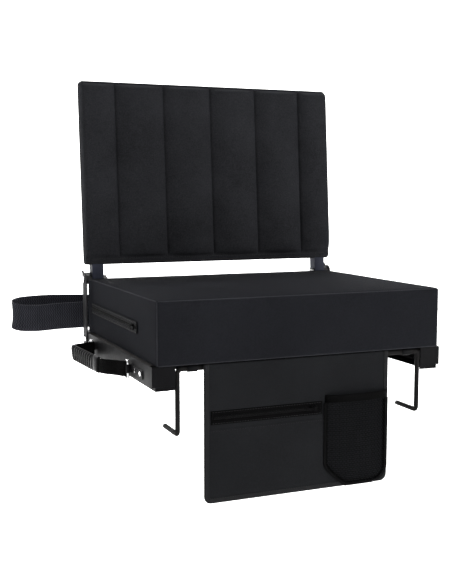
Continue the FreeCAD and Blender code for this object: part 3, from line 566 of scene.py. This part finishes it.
def band_profile(thick, tall, across):
    """Flat strap section: slightly thicker in the middle, with round selvedges."""
    half, rim = tall / 2, thick / 2
    heights = np.linspace(-half + rim, half - rim, across)
    front = [(rim * (1 - 0.12 * (h / half) ** 4), h) for h in heights]
    back = [(-x, h) for x, h in reversed(front)]
    top = [(0.7 * rim, half - 0.3 * rim), (0, half), (-0.7 * rim, half - 0.3 * rim)]
    return front + top + back + [(-x, -h) for x, h in top]


def stitches(name, lines, normal=(0, -1, 0)):
    """Rows of sewing thread: short round dashes that dip into the fabric at both ends."""
    long, gap, radius = 3.2 * MM, 1.3 * MM, 0.32 * MM
    verts, faces = [], []
    inward = -np.array(normal, float)
    for line in lines:
        line = np.asarray(line, float)
        total = np.linalg.norm(np.diff(line, axis=0), axis=1).sum()
        count = max(1, int(total / (long + gap)))
        marks = even_path(line, count * 8 + 1)
        for i in range(count):
            sink = np.array([1, 0.35, 0, 0, 0, 0.35, 1])[:, None] * inward * radius * 1.6
            dash = marks[i * 8:i * 8 + 7] + sink
            _, side, upward = path_frames(dash, normal)
            base = len(verts)
            for p, s, u in zip(dash, side, upward):
                verts += [p + radius * (math.cos(a) * s + math.sin(a) * u)
                          for a in np.linspace(0, 2 * math.pi, 6, False)]
            faces += tube_faces(len(dash), 6, base)
    return mesh_object(name, verts, faces, "thread")


def label(replaces):
    """Hide the CAD nodes that a piece stands for."""
    if replaces:
        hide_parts(*replaces)


def finish_piece(piece, body, replaces=()):
    """Ride a body, and hide the CAD nodes that the piece stands for."""
    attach(piece, body)
    label(replaces)
    return piece


# ---- seat cushion
CUSHION_LOW, CUSHION_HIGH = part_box("seat_cushion")
SEAT_RADIUS = 4.5 * MM
SWELL, SWELL_FROM, SWELL_TO = 3.8 * MM, 174 * MM, 192 * MM


def fuller(points):
    """Let the foam stand out at the two back corners of the cushion."""
    swell = np.clip((points[:, 1] - SWELL_FROM) / (SWELL_TO - SWELL_FROM), 0, 1)
    swell = swell ** 2 * (3 - 2 * swell) * (np.abs(points[:, 0]) > 200 * MM)
    points[:, 0] += np.sign(points[:, 0]) * SWELL * swell
    return points


def seat_cover():
    """Foam block in a sewn cover: a crowned top, sides that pull in a little, and soft corners."""
    low, high = np.array(CUSHION_LOW), np.array(CUSHION_HIGH)
    block = Block(low, high, SEAT_RADIUS, (9 * MM,) * 3)
    middle, half = (low + high) / 2, (high - low) / 2
    rel = (block.points - middle) / half
    points, normals = block.points.copy(), block.normals
    crown = np.prod(1 - np.abs(np.clip(rel[:, :2], -1, 1)) ** 4, axis=1)
    points[:, 2] += np.where(normals[:, 2] > 0.5, 3.0 * MM * crown, 0)
    for axis, other in ((0, 1), (1, 0)):
        face = np.abs(normals[:, axis]) > 0.6
        hollow = (1 - np.abs(rel[:, other]) ** 3) * (1 - np.abs(rel[:, 2]) ** 3)
        points[:, axis] -= np.where(face, np.sign(rel[:, axis]) * 1.6 * MM * hollow, 0)
    piece = mesh_object("seat_cover", fuller(points), block.faces, "seat_fabric")
    edge = np.sort(np.abs(rel), axis=1)[:, 1]
    near_edge = np.clip((edge - 0.93) / 0.05, 0, 1)
    underside = (rel[:, 2] < -0.93).astype(float)
    calm = np.where(normals[:, 2] > 0.5, 1.0, 0.2)
    inflate(piece, np.maximum(near_edge, underside), 1.2, 2.0 * MM, share=calm)
    settled = coordinates(piece)
    ripple = bumps(settled, 14, 3.0) * 0.30 * MM + bumps(settled, 60, 8.0) * 0.06 * MM
    set_coordinates(piece, settled + normals * (ripple * (1 - underside))[:, None])
    subdivided(piece)
    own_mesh(finish_piece(piece, "frame", ["seat_cushion"]))


def rounded_loop(low, high, radius, level, axis_up):
    """Points round a rectangle with round corners, in the plane across axis_up."""
    (x0, y0), (x1, y1) = low, high
    points = []
    for cx, cy, turn in ((x1 - radius, y1 - radius, 0), (x0 + radius, y1 - radius, 90),
                         (x0 + radius, y0 + radius, 180), (x1 - radius, y0 + radius, 270)):
        for a in np.linspace(turn, turn + 90, 7):
            angle = math.radians(a)
            spot = [cx + radius * math.cos(angle), cy + radius * math.sin(angle)]
            spot.insert(axis_up, level)
            points.append(spot)
    return np.array(points + points[:1])


def seat_welts():
    """Sewn edge seams of the cover: a loop round the top, one round the bottom and one up each corner."""
    low, high = np.array(CUSHION_LOW), np.array(CUSHION_HIGH)
    inset = SEAT_RADIUS * (1 - math.sqrt(0.5)) + 0.5 * MM
    # The welts take the lighter edge fabric, a painted highlight along the cushion's edges.
    loops = []
    for level in (high[2] - inset, low[2] + inset):
        outline = rounded_loop(low[:2] + inset, high[:2] - inset, 3.2 * MM, level, 2)
        path = fuller(even_path(outline, 420, True))
        loops.append(sweep("welt", path, round_profile(1.25 * MM), (0, 0, 1), "seat_edge", closed=True))
    corner = SEAT_RADIUS * (1 - 1 / math.sqrt(3)) + 0.1 * MM
    for x in (low[0] + corner, high[0] - corner):
        for y in (low[1] + corner, high[1] - corner):
            line = np.array([(x, y, z) for z in np.linspace(low[2] + corner, high[2] - corner, 24)])
            line += np.array([math.copysign(0.4 * MM, x), math.copysign(0.4 * MM, y), 0])
            loops.append(sweep("welt", fuller(line), round_profile(1.2 * MM), (0, 1, 0), "seat_edge"))
    piece = join("seat_edge_seams", loops)
    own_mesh(finish_piece(piece, "frame"))


def cover_hem():
    """Hem of the cover, turned down over the front edge of the board, behind the hook rod."""
    low, high = CUSHION_LOW, CUSHION_HIGH
    deep, thick, inset = 7.8 * MM, 1.2 * MM, 30 * MM
    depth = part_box("seat_board")[0].y - 3 * MM
    path = [(x, depth, low.z + 0.5 * MM - deep / 2) for x in np.linspace(low.x + inset, high.x - inset, 60)]
    hem = sweep("seat_cover_hem", path, band_profile(thick, deep, 7), (0, 0, 1), "seat_fabric")
    finish_piece(hem, "frame")


def join(name, things):
    """One object from several meshes with the same materials."""
    made = bmesh.new()
    for thing in things:
        made.from_mesh(thing.data)
    mesh = bpy.data.meshes.new(name)
    made.to_mesh(mesh)
    made.free()
    for material in things[0].data.materials:
        mesh.materials.append(material)
    for thing in things:
        bpy.data.objects.remove(thing)
    return placed(name, mesh)


# ---- padded back
def leaning_box(node):
    """Lowest and highest corners of a CAD node in the back's leaning frame."""
    inverse = LEAN.inverted()
    points = np.array([inverse @ v.co for v in NODES[node].data.vertices])
    return points.min(0), points.max(0)


def to_row(points):
    """Points of the leaning frame in the row frame."""
    turn = np.array(LEAN.to_3x3())
    return np.asarray(points) @ turn.T + np.array(LEAN.translation)


SEAMS = [-194 * MM, -97 * MM, 0.0, 97 * MM, 194 * MM]
PAD_BOTTOM, PAD_TOP = 15 * MM, 341 * MM
PAD_HEIGHT = 10 * MM
BACK_RADIUS, FRONT_SET_BACK = 6 * MM, 0.8 * MM


def pad_height(x, rise, half):
    """How far the quilted front stands out: one pillow between each pair of seams."""
    edges = [-half, *SEAMS, half]
    for i, (left, right) in enumerate(zip(edges, edges[1:])):
        if left <= x <= right:
            outer = i in (0, len(edges) - 2)
            break
    share = 2 * (x - left) / (right - left) - 1
    if outer:
        share = max(0.0, -share if x > 0 else share)
    across = (1 - abs(share) ** 2.5) ** 0.72
    up = min(1.0, max(0.0, (rise - PAD_BOTTOM) / (14 * MM if not outer else 30 * MM)))
    down = min(1.0, max(0.0, (PAD_TOP - rise) / (12 * MM)))
    return PAD_HEIGHT * across * math.sqrt(1 - (1 - up) ** 2) * math.sqrt(1 - (1 - down) ** 2)


def back_padding():
    """Quilted cover over the back frame: six upright channels in front and a plain rear panel."""
    low, high = leaning_box("back_cover")
    low[1] += FRONT_SET_BACK
    close = [s + d for s in SEAMS for d in (-5 * MM, -1.6 * MM, 0, 1.6 * MM, 5 * MM)]
    bands = [low[2] + PAD_BOTTOM + step * MM for step in (-2, 0, 1.5, 5)]
    bands += [low[2] + PAD_TOP - step * MM for step in (5, 1.5)]
    block = Block(low, high, BACK_RADIUS, (8 * MM, 9 * MM, 8 * MM), (close, (), bands))
    points, normals = block.points.copy(), block.normals
    half = (high[0] - low[0]) / 2
    front = np.clip(-normals[:, 1], 0, 1)
    lift = np.array([pad_height(x, z - low[2], half) for x, _, z in points])
    groove = np.array([min(abs(x - s) for s in SEAMS) for x in points[:, 0]])
    inside = (points[:, 2] > low[2] + PAD_BOTTOM - 1 * MM) & (points[:, 2] < low[2] + PAD_TOP)
    points[:, 1] -= lift * front
    points[:, 1] += np.where((groove < 0.5 * MM) & inside, 1.4 * MM, 0) * front
    rear = np.clip(normals[:, 1], 0, 1)
    rel_x, rel_z = points[:, 0] / half, 2 * (points[:, 2] - low[2]) / (high[2] - low[2]) - 1
    points[:, 1] += rear * 2.0 * MM * (1 - np.abs(rel_x) ** 4) * (1 - np.abs(rel_z) ** 4)
    piece = mesh_object("back_padding", to_row(points), block.faces, "back_fabric")
    pinned = np.where((groove < 2 * MM) & (front > 0.9), 1.0, 0.0)
    border = (np.abs(normals).max(axis=1) < 0.999) | (np.abs(normals[:, 1]) < 0.5)
    pinned = np.maximum(pinned, border.astype(float))
    pinned = np.maximum(pinned, np.where(points[:, 2] < low[2] + PAD_BOTTOM, 1.0, 0.0))
    inflate(piece, pinned, 1.8, 3.5 * MM, spare=0.006)
    settled = coordinates(piece)
    turn = np.array(LEAN.to_3x3())
    ripple = bumps(settled, 26, 5.0) * 0.5 * MM + bumps(settled, 90, 1.0) * 0.15 * MM
    set_coordinates(piece, settled + (normals @ turn.T) * (ripple * (1 - 0.7 * pinned))[:, None])
    subdivided(piece)
    finish_piece(piece, "back", ["back_cover", "back_foam"])


def back_seams():
    """Edge seams round the front and the rear of the back cover, and its bottom hem stitching."""
    low, high = leaning_box("back_cover")
    inset = BACK_RADIUS * (1 - math.sqrt(0.5)) + 0.2 * MM
    flat_low, flat_high = low[[0, 2]] + inset, high[[0, 2]] - inset
    loops = []
    for level in (low[1] + inset + FRONT_SET_BACK, high[1] - inset):
        outline = rounded_loop(flat_low, flat_high, 5 * MM, level, 1)
        loops.append(sweep("seam", to_row(even_path(outline, 420, True)), round_profile(1.2 * MM),
                           (0, 1, 0), "back_fabric", closed=True))
    finish_piece(join("back_edge_seams", loops), "back")
    rows = []
    for rise in (4 * MM, 10.5 * MM):
        xs = np.linspace(low[0] + 12 * MM, high[0] - 12 * MM, 160)
        rows.append(to_row([(x, low[1] + 0.65 * MM, low[2] + rise) for x in xs]))
    finish_piece(stitches("back_hem_stitches", rows), "back")


# ---- zips
def zip_parts(name, tape_slot, centre, along, up, out, length, tall, body, replaced):
    """A zip on a flat face: a tape with round edges, two rows of coil teeth and two of stitches."""
    along, up, out = (np.array(v, float) for v in (along, up, out))
    centre = np.array(centre, float)
    path = [centre + along * t for t in np.linspace(-length / 2, length / 2, 60)]
    path = np.array(path) + out * 0.5 * MM
    tape = sweep(name + "_band", path, band_profile(0.9 * MM, tall, 11), up, tape_slot)
    finish_piece(tape, body, [replaced])
    verts, faces = [], []
    pitch = 2.0 * MM
    for i in range(int((length - 12 * MM) / pitch)):
        for side in (-1, 1):
            run = -length / 2 + 6 * MM + (i + 0.25 * side) * pitch
            middle = centre + along * run + up * side * 1.1 * MM
            base = len(verts)
            for reach in (-1.5 * MM, 1.5 * MM):
                for a in np.linspace(0, 2 * math.pi, 8, False):
                    verts.append(middle + out * (1.0 * MM + 0.55 * MM * math.sin(a))
                                 + along * 0.62 * MM * math.cos(a) + up * reach)
            faces += tube_faces(2, 8, base)
    teeth = mesh_object(name + "_coil", verts, faces, "zip_coil")
    finish_piece(teeth, body)
    rows = []
    for side in (-1, 1):
        row = centre + up * side * (tall / 2 - 2.2 * MM) + out * 1.15 * MM
        rows.append([row + along * t for t in np.linspace(-length / 2 + 2 * MM, length / 2 - 2 * MM, 80)])
    finish_piece(stitches(name + "_stitches", rows, normal=out), body)


def seat_zip():
    """The zip along the left side of the cushion."""
    low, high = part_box("seat_zip_tape")
    centre = (high.x, (low.y + high.y) / 2, (low.z + high.z) / 2)
    zip_parts("seat_zip", "seat_zip_tape", centre, (0, 1, 0), (0, 0, 1), (-1, 0, 0),
              high.y - low.y, high.z - low.z, "frame", "seat_zip_tape")


def flap_zip():
    """The zip across the front of the flap."""
    low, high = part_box("flap_zip_tape")
    centre = ((low.x + high.x) / 2, high.y, (low.z + high.z) / 2)
    zip_parts("flap_zip", "zip_tape", centre, (1, 0, 0), (0, 0, 1), (0, -1, 0),
              high.x - low.x, high.z - low.z, "flap", "flap_zip_tape")


# ---- storage flap
FLAP_LOW, FLAP_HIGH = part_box("flap_panel")
FLAP_CORNER = 12 * MM
POCKET_SEAM = -66 * MM


def flap_outline(inset):
    """Left side, bottom and right side of the flap, from its top left to its top right."""
    x0, x1, z0, z1 = FLAP_LOW.x + inset, FLAP_HIGH.x - inset, FLAP_LOW.z + inset, FLAP_HIGH.z
    corner = FLAP_CORNER - inset
    angles = np.linspace(0, math.pi / 2, 9)
    left = [(x0 + corner - corner * math.cos(a), z0 + corner - corner * math.sin(a)) for a in angles]
    right = [(x1 - corner + corner * math.sin(a), z0 + corner - corner * math.cos(a)) for a in angles]
    return [(x0, z1)] + left + right + [(x1, z1)]


def hang(piece, replaces=()):
    """Hide the CAD nodes that a piece of the flap stands for, and bake its placement into its mesh."""
    label(replaces)
    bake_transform(piece)


def flap_wave(x, z):
    """Slight unevenness of the hanging flap, nothing at its top."""
    drop = (FLAP_HIGH.z - z) / (FLAP_HIGH.z - FLAP_LOW.z)
    return 0.9 * MM * drop * noise.noise(Vector((x * 9 + 2, z * 7, 0.4)))


def flap_spot(x, z):
    """A grid point of the flap, drawn in to its round lower corners."""
    centre_z = FLAP_LOW.z + FLAP_CORNER
    for centre_x, sign in ((FLAP_LOW.x + FLAP_CORNER, -1), (FLAP_HIGH.x - FLAP_CORNER, 1)):
        if sign * (x - centre_x) > 0 and z < centre_z:
            away = Vector((x - centre_x, z - centre_z))
            if away.length > 1e-9:
                away = away * (max(abs(away.x), abs(away.y)) / away.length)
            return centre_x + away.x, centre_z + away.y
    return x, z


def flap_depth(layer, x, z):
    """Depth of the flap's front (layer 0) or back: thin at its edges, fuller at the zip pocket."""
    edge = min(x - FLAP_LOW.x, FLAP_HIGH.x - x, z - FLAP_LOW.z)
    puff = min(1.0, max(0.0, edge / (14 * MM)))
    if layer:
        return FLAP_HIGH.y - 0.4 * MM * (1 - puff) + flap_wave(x, z)
    depth = FLAP_LOW.y + 0.5 * MM * (1 - puff)
    if z < POCKET_SEAM and x < 36 * MM:
        depth -= 0.9 * MM * min(1.0, (POCKET_SEAM - z) / (1.2 * MM)) * puff
    return depth + flap_wave(x, z)


def flap_panel():
    """Two layers of fabric with a stiffener: the front has a raised lower pocket panel and sunk seams."""
    xs = grid_lines(FLAP_LOW.x, FLAP_HIGH.x, 6 * MM, [FLAP_LOW.x + 8 * MM, FLAP_HIGH.x - 13 * MM])
    zs = grid_lines(FLAP_LOW.z, FLAP_HIGH.z, 6 * MM, [POCKET_SEAM + step * MM for step in (-1.2, 0, 1.2)])
    verts, faces = [], []
    for layer in (0, 1):
        for z in zs:
            for x in xs:
                across, up = flap_spot(x, z)
                verts.append((across, flap_depth(layer, across, up), up))
    columns, rows = len(xs), len(zs)
    size = columns * rows
    for r in range(rows - 1):
        for c in range(columns - 1):
            a = r * columns + c
            quad = (a, a + 1, a + columns + 1, a + columns)
            faces += [quad, tuple(size + i for i in reversed(quad))]
    rim = list(range(columns)) + [r * columns + columns - 1 for r in range(1, rows)]
    rim += [(rows - 1) * columns + c for c in reversed(range(columns - 1))]
    rim += [r * columns for r in reversed(range(1, rows - 1))]
    faces += [(a, b, size + b, size + a) for a, b in zip(rim, rim[1:] + rim[:1])]
    piece = mesh_object("flap_sheet", verts, faces, "flap_fabric")
    subdivided(piece)
    hang(piece, ["flap_panel"])
    return piece


def make_flap():
    """The flap's sheet, the binding round its edge and its stitches."""
    panel = flap_panel()
    middle = (FLAP_LOW.y + FLAP_HIGH.y) / 2
    line = np.array([(x, middle + flap_wave(x, z), z) for x, z in flap_outline(4.4 * MM)])
    path = even_path(line, 320)
    profile = [(v, u) for u, v in band_profile(4.4 * MM, 9.6 * MM, 7)]
    binding = sweep("flap_edge_binding", path, profile, (0, 1, 0), "binding_tape")
    hang(binding, ["flap_binding"])
    rows = []
    for inset, depth in ((7.6 * MM, 2.35 * MM), (12.6 * MM, 0.1 * MM)):
        front = FLAP_LOW.y + 1.6 * MM - depth + 0.1 * MM
        rows.append(even_path([(x, front + flap_wave(x, z), z) for x, z in flap_outline(inset)], 300))
    seam = [(x, FLAP_LOW.y - 0.75 * MM + flap_wave(x, POCKET_SEAM), POCKET_SEAM - 3.2 * MM)
            for x in np.linspace(FLAP_LOW.x + 14 * MM, 35 * MM, 90)]
    rows.append(seam)
    threads = stitches("flap_stitches", rows)
    hang(threads)


# ---- mesh pocket
POCKET_LOW, POCKET_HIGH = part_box("mesh_pocket")
POCKET_SLANT = 38 * MM
POCKET_ROUND = 26 * MM


def pocket_edge(z):
    """Left and right limits of the pocket at a height."""
    left, right, low = POCKET_LOW.x, POCKET_HIGH.x, POCKET_LOW.z
    up = max(0.0, z - low)
    if up < POCKET_SLANT:
        left += POCKET_SLANT * (1 - (up / POCKET_SLANT)) ** 1.35
    if up < POCKET_ROUND:
        right -= POCKET_ROUND - math.sqrt(max(0.0, POCKET_ROUND ** 2 - (POCKET_ROUND - up) ** 2))
    return left, right


def pocket_bulge(x, z):
    """Depth of the net in front of the flap: slack in the middle, held at the hem and the mouth."""
    left, right = pocket_edge(z)
    if right - left < 1 * MM:
        return 1 * MM
    share = min(1.0, max(0.0, (x - left) / (right - left)))
    across = (1 - abs(2 * share - 1) ** 2.6) ** 0.7
    up = min(1.0, (z - POCKET_LOW.z) / (34 * MM))
    down = 0.72 + 0.28 * min(1.0, (POCKET_HIGH.z - z) / (60 * MM))
    full = POCKET_HIGH.y - POCKET_LOW.y
    return 1 * MM + (full - 2 * MM) * across * math.sqrt(max(0.0, 1 - (1 - up) ** 2)) * down


def pocket_net():
    """Warp knitted net as real threads: rows of flat holes, each row half a hole along from the last."""
    wide, tall = 6.0 * MM, 3.5 * MM
    top = POCKET_HIGH.z - 2 * MM
    net = bmesh.new()
    knots = {}

    def knot(half_column, row):
        if (half_column, row) not in knots:
            z = top - row * tall + 0.45 * MM * math.sin(math.pi * half_column / 2)
            left, right = pocket_edge(z)
            x = min(max(POCKET_LOW.x + half_column * wide / 2, left - 1 * MM), right + 1 * MM)
            knots[half_column, row] = net.verts.new((x, POCKET_HIGH.y - pocket_bulge(x, z), z))
        return knots[half_column, row]

    rows = int((top - POCKET_LOW.z) / tall)
    columns = int((POCKET_HIGH.x - POCKET_LOW.x) / wide) + 2
    for row in range(rows):
        middle_z = top - (row + 0.5) * tall
        left, right = pocket_edge(middle_z)
        for column in range(-1, columns):
            first = 2 * column + row % 2
            start, end = (POCKET_LOW.x + (first + step) * wide / 2 for step in (0, 2))
            if end < left or start > right:
                continue
            upper = [knot(first + step, row) for step in (0, 1, 2)]
            lower = [knot(first + step, row + 1) for step in (2, 1, 0)]
            net.faces.new(upper + lower)
    bmesh.ops.remove_doubles(net, verts=net.verts, dist=0.2 * MM)
    data = bpy.data.meshes.new("pocket_net")
    net.to_mesh(data)
    net.free()
    data.materials.append(MATERIALS["pocket_mesh"])
    piece = placed("pocket_net", data)
    threads = piece.modifiers.new("threads", "WIREFRAME")
    threads.thickness = 0.95 * MM
    threads.use_even_offset = False
    threads.use_boundary = True
    finish_piece(piece, "flap", ["mesh_pocket"])


def pocket_trim():
    """Elastic at the mouth and the hem tape round the lower edge."""
    low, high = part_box("pocket_band")
    middle_z, tall = (low.z + high.z) / 2, high.z - low.z
    face = FLAP_LOW.y
    xs = np.linspace(low.x + 3 * MM, high.x - 3 * MM, 60)
    top = [(x, face - pocket_bulge(x, POCKET_HIGH.z) - 1.0 * MM, middle_z) for x in xs]
    left = [(low.x, face - 0.6 * MM, middle_z), (low.x + 0.5 * MM, face - 1.5 * MM, middle_z)]
    tab = [(-0.5, -1.5, 0), (0, -0.6, 0), (3, 1.5, 1), (-2, 4.4, 2), (-14, 4.6, 2)]
    right = [(high.x + x * MM, face + y * MM, middle_z + z * MM) for x, y, z in tab]
    path = even_path(left + top + right, 150)
    band = sweep("pocket_elastic", path, band_profile(1.6 * MM, tall, 9), (0, 0, 1), "elastic")
    finish_piece(band, "flap", ["pocket_band"])
    slant, bottom, curve = POCKET_LOW.z + POCKET_SLANT, POCKET_LOW.z, POCKET_LOW.z + POCKET_ROUND
    edge = []
    for side, first, second in ((0, (low.z, slant, 18), (slant, bottom, 14)),
                                (1, (bottom, curve, 12), (curve, low.z, 18))):
        heights = [*np.linspace(*first), *np.linspace(*second)[1:]]
        edge += [(pocket_edge(z)[side], z) for z in heights]
    path = even_path([(x, face - 1.6 * MM, z) for x, z in edge], 260)
    profile = [(v, u) for u, v in band_profile(2.2 * MM, 7.5 * MM, 7)]
    hem = sweep("pocket_edge_tape", path, profile, (0, 1, 0), "hem_tape")
    finish_piece(hem, "flap", ["pocket_hem"])


# ---- carry handle
HANDLE_AXIS = Vector(JOINTS["handle_swing"]["pos_m"])
GRIP_LOW, GRIP_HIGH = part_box("handle_grip")
GRIP_FROM, GRIP_TO = GRIP_LOW.y, GRIP_HIGH.y
GRIP_THICK = 11 * MM
GRIP_COLLAR = 25 * MM
GRIP_REAR_X = GRIP_LOW.x + GRIP_THICK / 2
GRIP_FRONT_X = GRIP_HIGH.x - GRIP_THICK / 2
HANDLE_BEND = 10 * MM


def grip_point(y):
    """Centreline of the straight grip, carried on past both its ends."""
    share = (y - GRIP_FROM) / (GRIP_TO - GRIP_FROM)
    return Vector((GRIP_FRONT_X + share * (GRIP_REAR_X - GRIP_FRONT_X), y, HANDLE_AXIS.z))


def handle_straps():
    """Webbing from the grip to each ring. Its end turns round the ring's bar and is sewn back."""
    thick, tall, tail = 2.2 * MM, 25 * MM, 26 * MM
    wire = 1.9 * MM
    for name, end, ring in (("front", -1, "front_handle_ring"), ("rear", 1, "rear_handle_ring")):
        low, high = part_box(ring)
        bar = Vector(((low.x + high.x) / 2, high.y - wire if end < 0 else low.y + wire, HANDLE_AXIS.z))
        near = GRIP_FROM if end < 0 else GRIP_TO
        corner = grip_point(near + end * HANDLE_BEND)
        run = (bar - corner).normalized()
        away = Vector((-abs(run.y), run.x * math.copysign(1, run.y), 0))
        turn = wire + thick / 2 + 0.1 * MM
        spots = [grip_point(near - end * 22 * MM), grip_point(near - end * 8 * MM), grip_point(near)]
        spots += [corner - (corner - grip_point(near)) * 0.35 + run * 1.5 * MM, corner + run * 8 * MM]
        spots += [corner.lerp(bar, 0.6) + away * 0.5 * MM, bar - run * 6 * MM + away * (turn - 0.4 * MM)]
        spots += [bar + away * turn * math.cos(a) + run * turn * math.sin(a)
                  for a in np.linspace(0, math.pi, 7)]
        spots += [bar - run * 7 * MM - away * 1.6 * MM, bar - run * 15 * MM - away * 1.7 * MM,
                  bar - run * tail - away * 1.7 * MM]
        strap = sweep("handle_webbing_" + name, smooth_path(spots, 150), band_profile(thick, tall, 9),
                      (0, 0, 1), "handle_strap")
        if end < 0:
            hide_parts("handle_webbing")
        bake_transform(strap)


def rib_depth(place):
    """Depth of the grip's grooves, from 0 on a rib to 1 in a groove, by distance from its front end."""
    pitch, length = 11.5 * MM, GRIP_TO - GRIP_FROM
    if place < GRIP_COLLAR or place > length - 8 * MM:
        return 0.0
    return (0.5 + 0.5 * math.cos(2 * math.pi * (place - GRIP_COLLAR - pitch / 2) / pitch)) ** 1.6


def handle_grip():
    """Rubber grip: a smooth collar in front, curved finger ribs behind it, and a slanted rear end."""
    tall = GRIP_HIGH.z - GRIP_LOW.z
    around = np.linspace(0, 2 * math.pi, 40, False)
    places = np.linspace(0, GRIP_TO - GRIP_FROM, 240)
    verts = []
    for place in places:
        ends = min(1.0, min(place, places[-1] - place) / (2.2 * MM))
        round_end = 0.72 + 0.28 * math.sqrt(ends * (2 - ends))
        for a in around:
            out = math.copysign(abs(math.cos(a)) ** 0.7, math.cos(a))
            rise = math.copysign(abs(math.sin(a)) ** 0.55, math.sin(a))
            groove = rib_depth(place - 4.5 * MM * (1 - rise ** 2) + 1.5 * MM * rise)
            slip = (5 * MM * rise - 2.5 * MM) * (place / places[-1]) ** 3
            barrel = 0.30 * (2 * place / GRIP_COLLAR - 1) ** 2 if place < GRIP_COLLAR else 0.0
            centre = grip_point(GRIP_FROM + place + slip)
            wide = GRIP_THICK / 2 * out * round_end * (0.96 - barrel - 0.50 * groove)
            high = tall / 2 * rise * (0.5 + 0.5 * round_end) * (0.98 - 0.07 * groove)
            verts.append((centre.x + wide, centre.y, centre.z + high))
    faces = tube_faces(len(places), len(around))
    piece = mesh_object("handle_grip_rubber", verts, faces, "grip_rubber")
    finish_piece(piece, "handle", ["handle_grip"])


# ---- shoulder strap
def shoulder_strap():
    """Two inch webbing: riveted behind the seat at both ends, with a loop that stands out at the left."""
    low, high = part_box("shoulder_strap")
    middle, tall = (low.z + high.z) / 2, high.z - low.z
    plane, reach = 230 * MM, low.x + 1 * MM
    end, width = 192 * MM, 44 * MM
    far = plane + 34 * MM
    spots = [
        (-end + width, plane, 0), (-end + width / 2, plane, 0), (-end, plane, 0),
        (-0.235, plane + 0.001, 0), (-0.300, plane + 0.004, -0.001),
        (reach + 0.026, plane + 0.003, -0.002), (reach + 0.006, plane + 0.007, 0.001),
        (reach, plane + 0.017, 0.005), (reach + 0.009, far - 0.004, 0.009), (reach + 0.040, far, 0.012),
        (-0.290, far - 0.001, 0.012), (-0.200, far - 0.004, 0.008), (-0.090, far + 0.006, 0.002),
        (0.020, far + 0.004, -0.003), (0.090, far - 0.014, -0.002), (0.122, plane + 0.006, 0),
        (end - width, plane, 0), (end - width / 2, plane, 0), (end, plane, 0),
    ]
    path = smooth_path([(x, y, middle + lift) for x, y, lift in spots], 420)
    strap = sweep("shoulder_webbing", path, band_profile(1.9 * MM, tall, 15), (0, 0, 1), "webbing")
    finish_piece(strap, "frame", ["shoulder_strap"])
    rows = []
    for side in (-1, 1):
        x0, x1 = side * (end - 3 * MM), side * (end - width + 4 * MM)
        z0, z1 = middle - tall / 2 + 5 * MM, middle + tall / 2 - 5 * MM
        corners = [(x0, z0), (x1, z0), (x1, z1), (x0, z1), (x0, z0), (x1, z1)]
        rows.append(even_path([(x, plane + 1.1 * MM, z) for x, z in corners], 120))
    finish_piece(stitches("strap_stitches", rows, normal=(0, 1, 0)), "frame")


# ---- metal parts from the CAD model
BEVELS = {
    "frame_steel": 0.5 * MM, "tube_paint": 2.0 * MM, "hook_steel": 0.2 * MM, "zinc_steel": 0.5 * MM,
    "chrome_metal": 0.9 * MM, "zip_metal": 0.35 * MM, "black_nylon": 0.4 * MM, "board_wood": 0.5 * MM,
}


def dress_cad_nodes():
    """Give the CAD parts their finish, and round their edges a little for the light to catch."""
    slots = {part["node"]: part["material_slot"] for part in frame["record"]["subparts"]}
    for name, thing in NODES.items():
        finish = "bracket_steel" if name.endswith("hinge_bracket") else slots[name]
        material = MATERIALS.get(finish)
        if material is None or thing.hide_render:
            continue
        thing.data.materials.clear()
        thing.data.materials.append(material)
        weld = thing.modifiers.new("weld", "WELD")
        weld.merge_threshold = 0.005 * MM
        bevel = thing.modifiers.new("edges", "BEVEL")
        bevel.width = BEVELS.get(slots[name], 0.3 * MM)
        bevel.segments = 3 if slots[name] in ("tube_paint", "chrome_metal") else 2
        bevel.limit_method = "ANGLE"
        bevel.angle_limit = math.radians(35)


MATERIALS = make_materials()
make_camera()
make_studio()
seat_cover()
seat_welts()
cover_hem()
seat_zip()
back_padding()
back_seams()
make_flap()
flap_zip()
pocket_net()
pocket_trim()
handle_straps()
handle_grip()
shoulder_strap()
dress_cad_nodes()
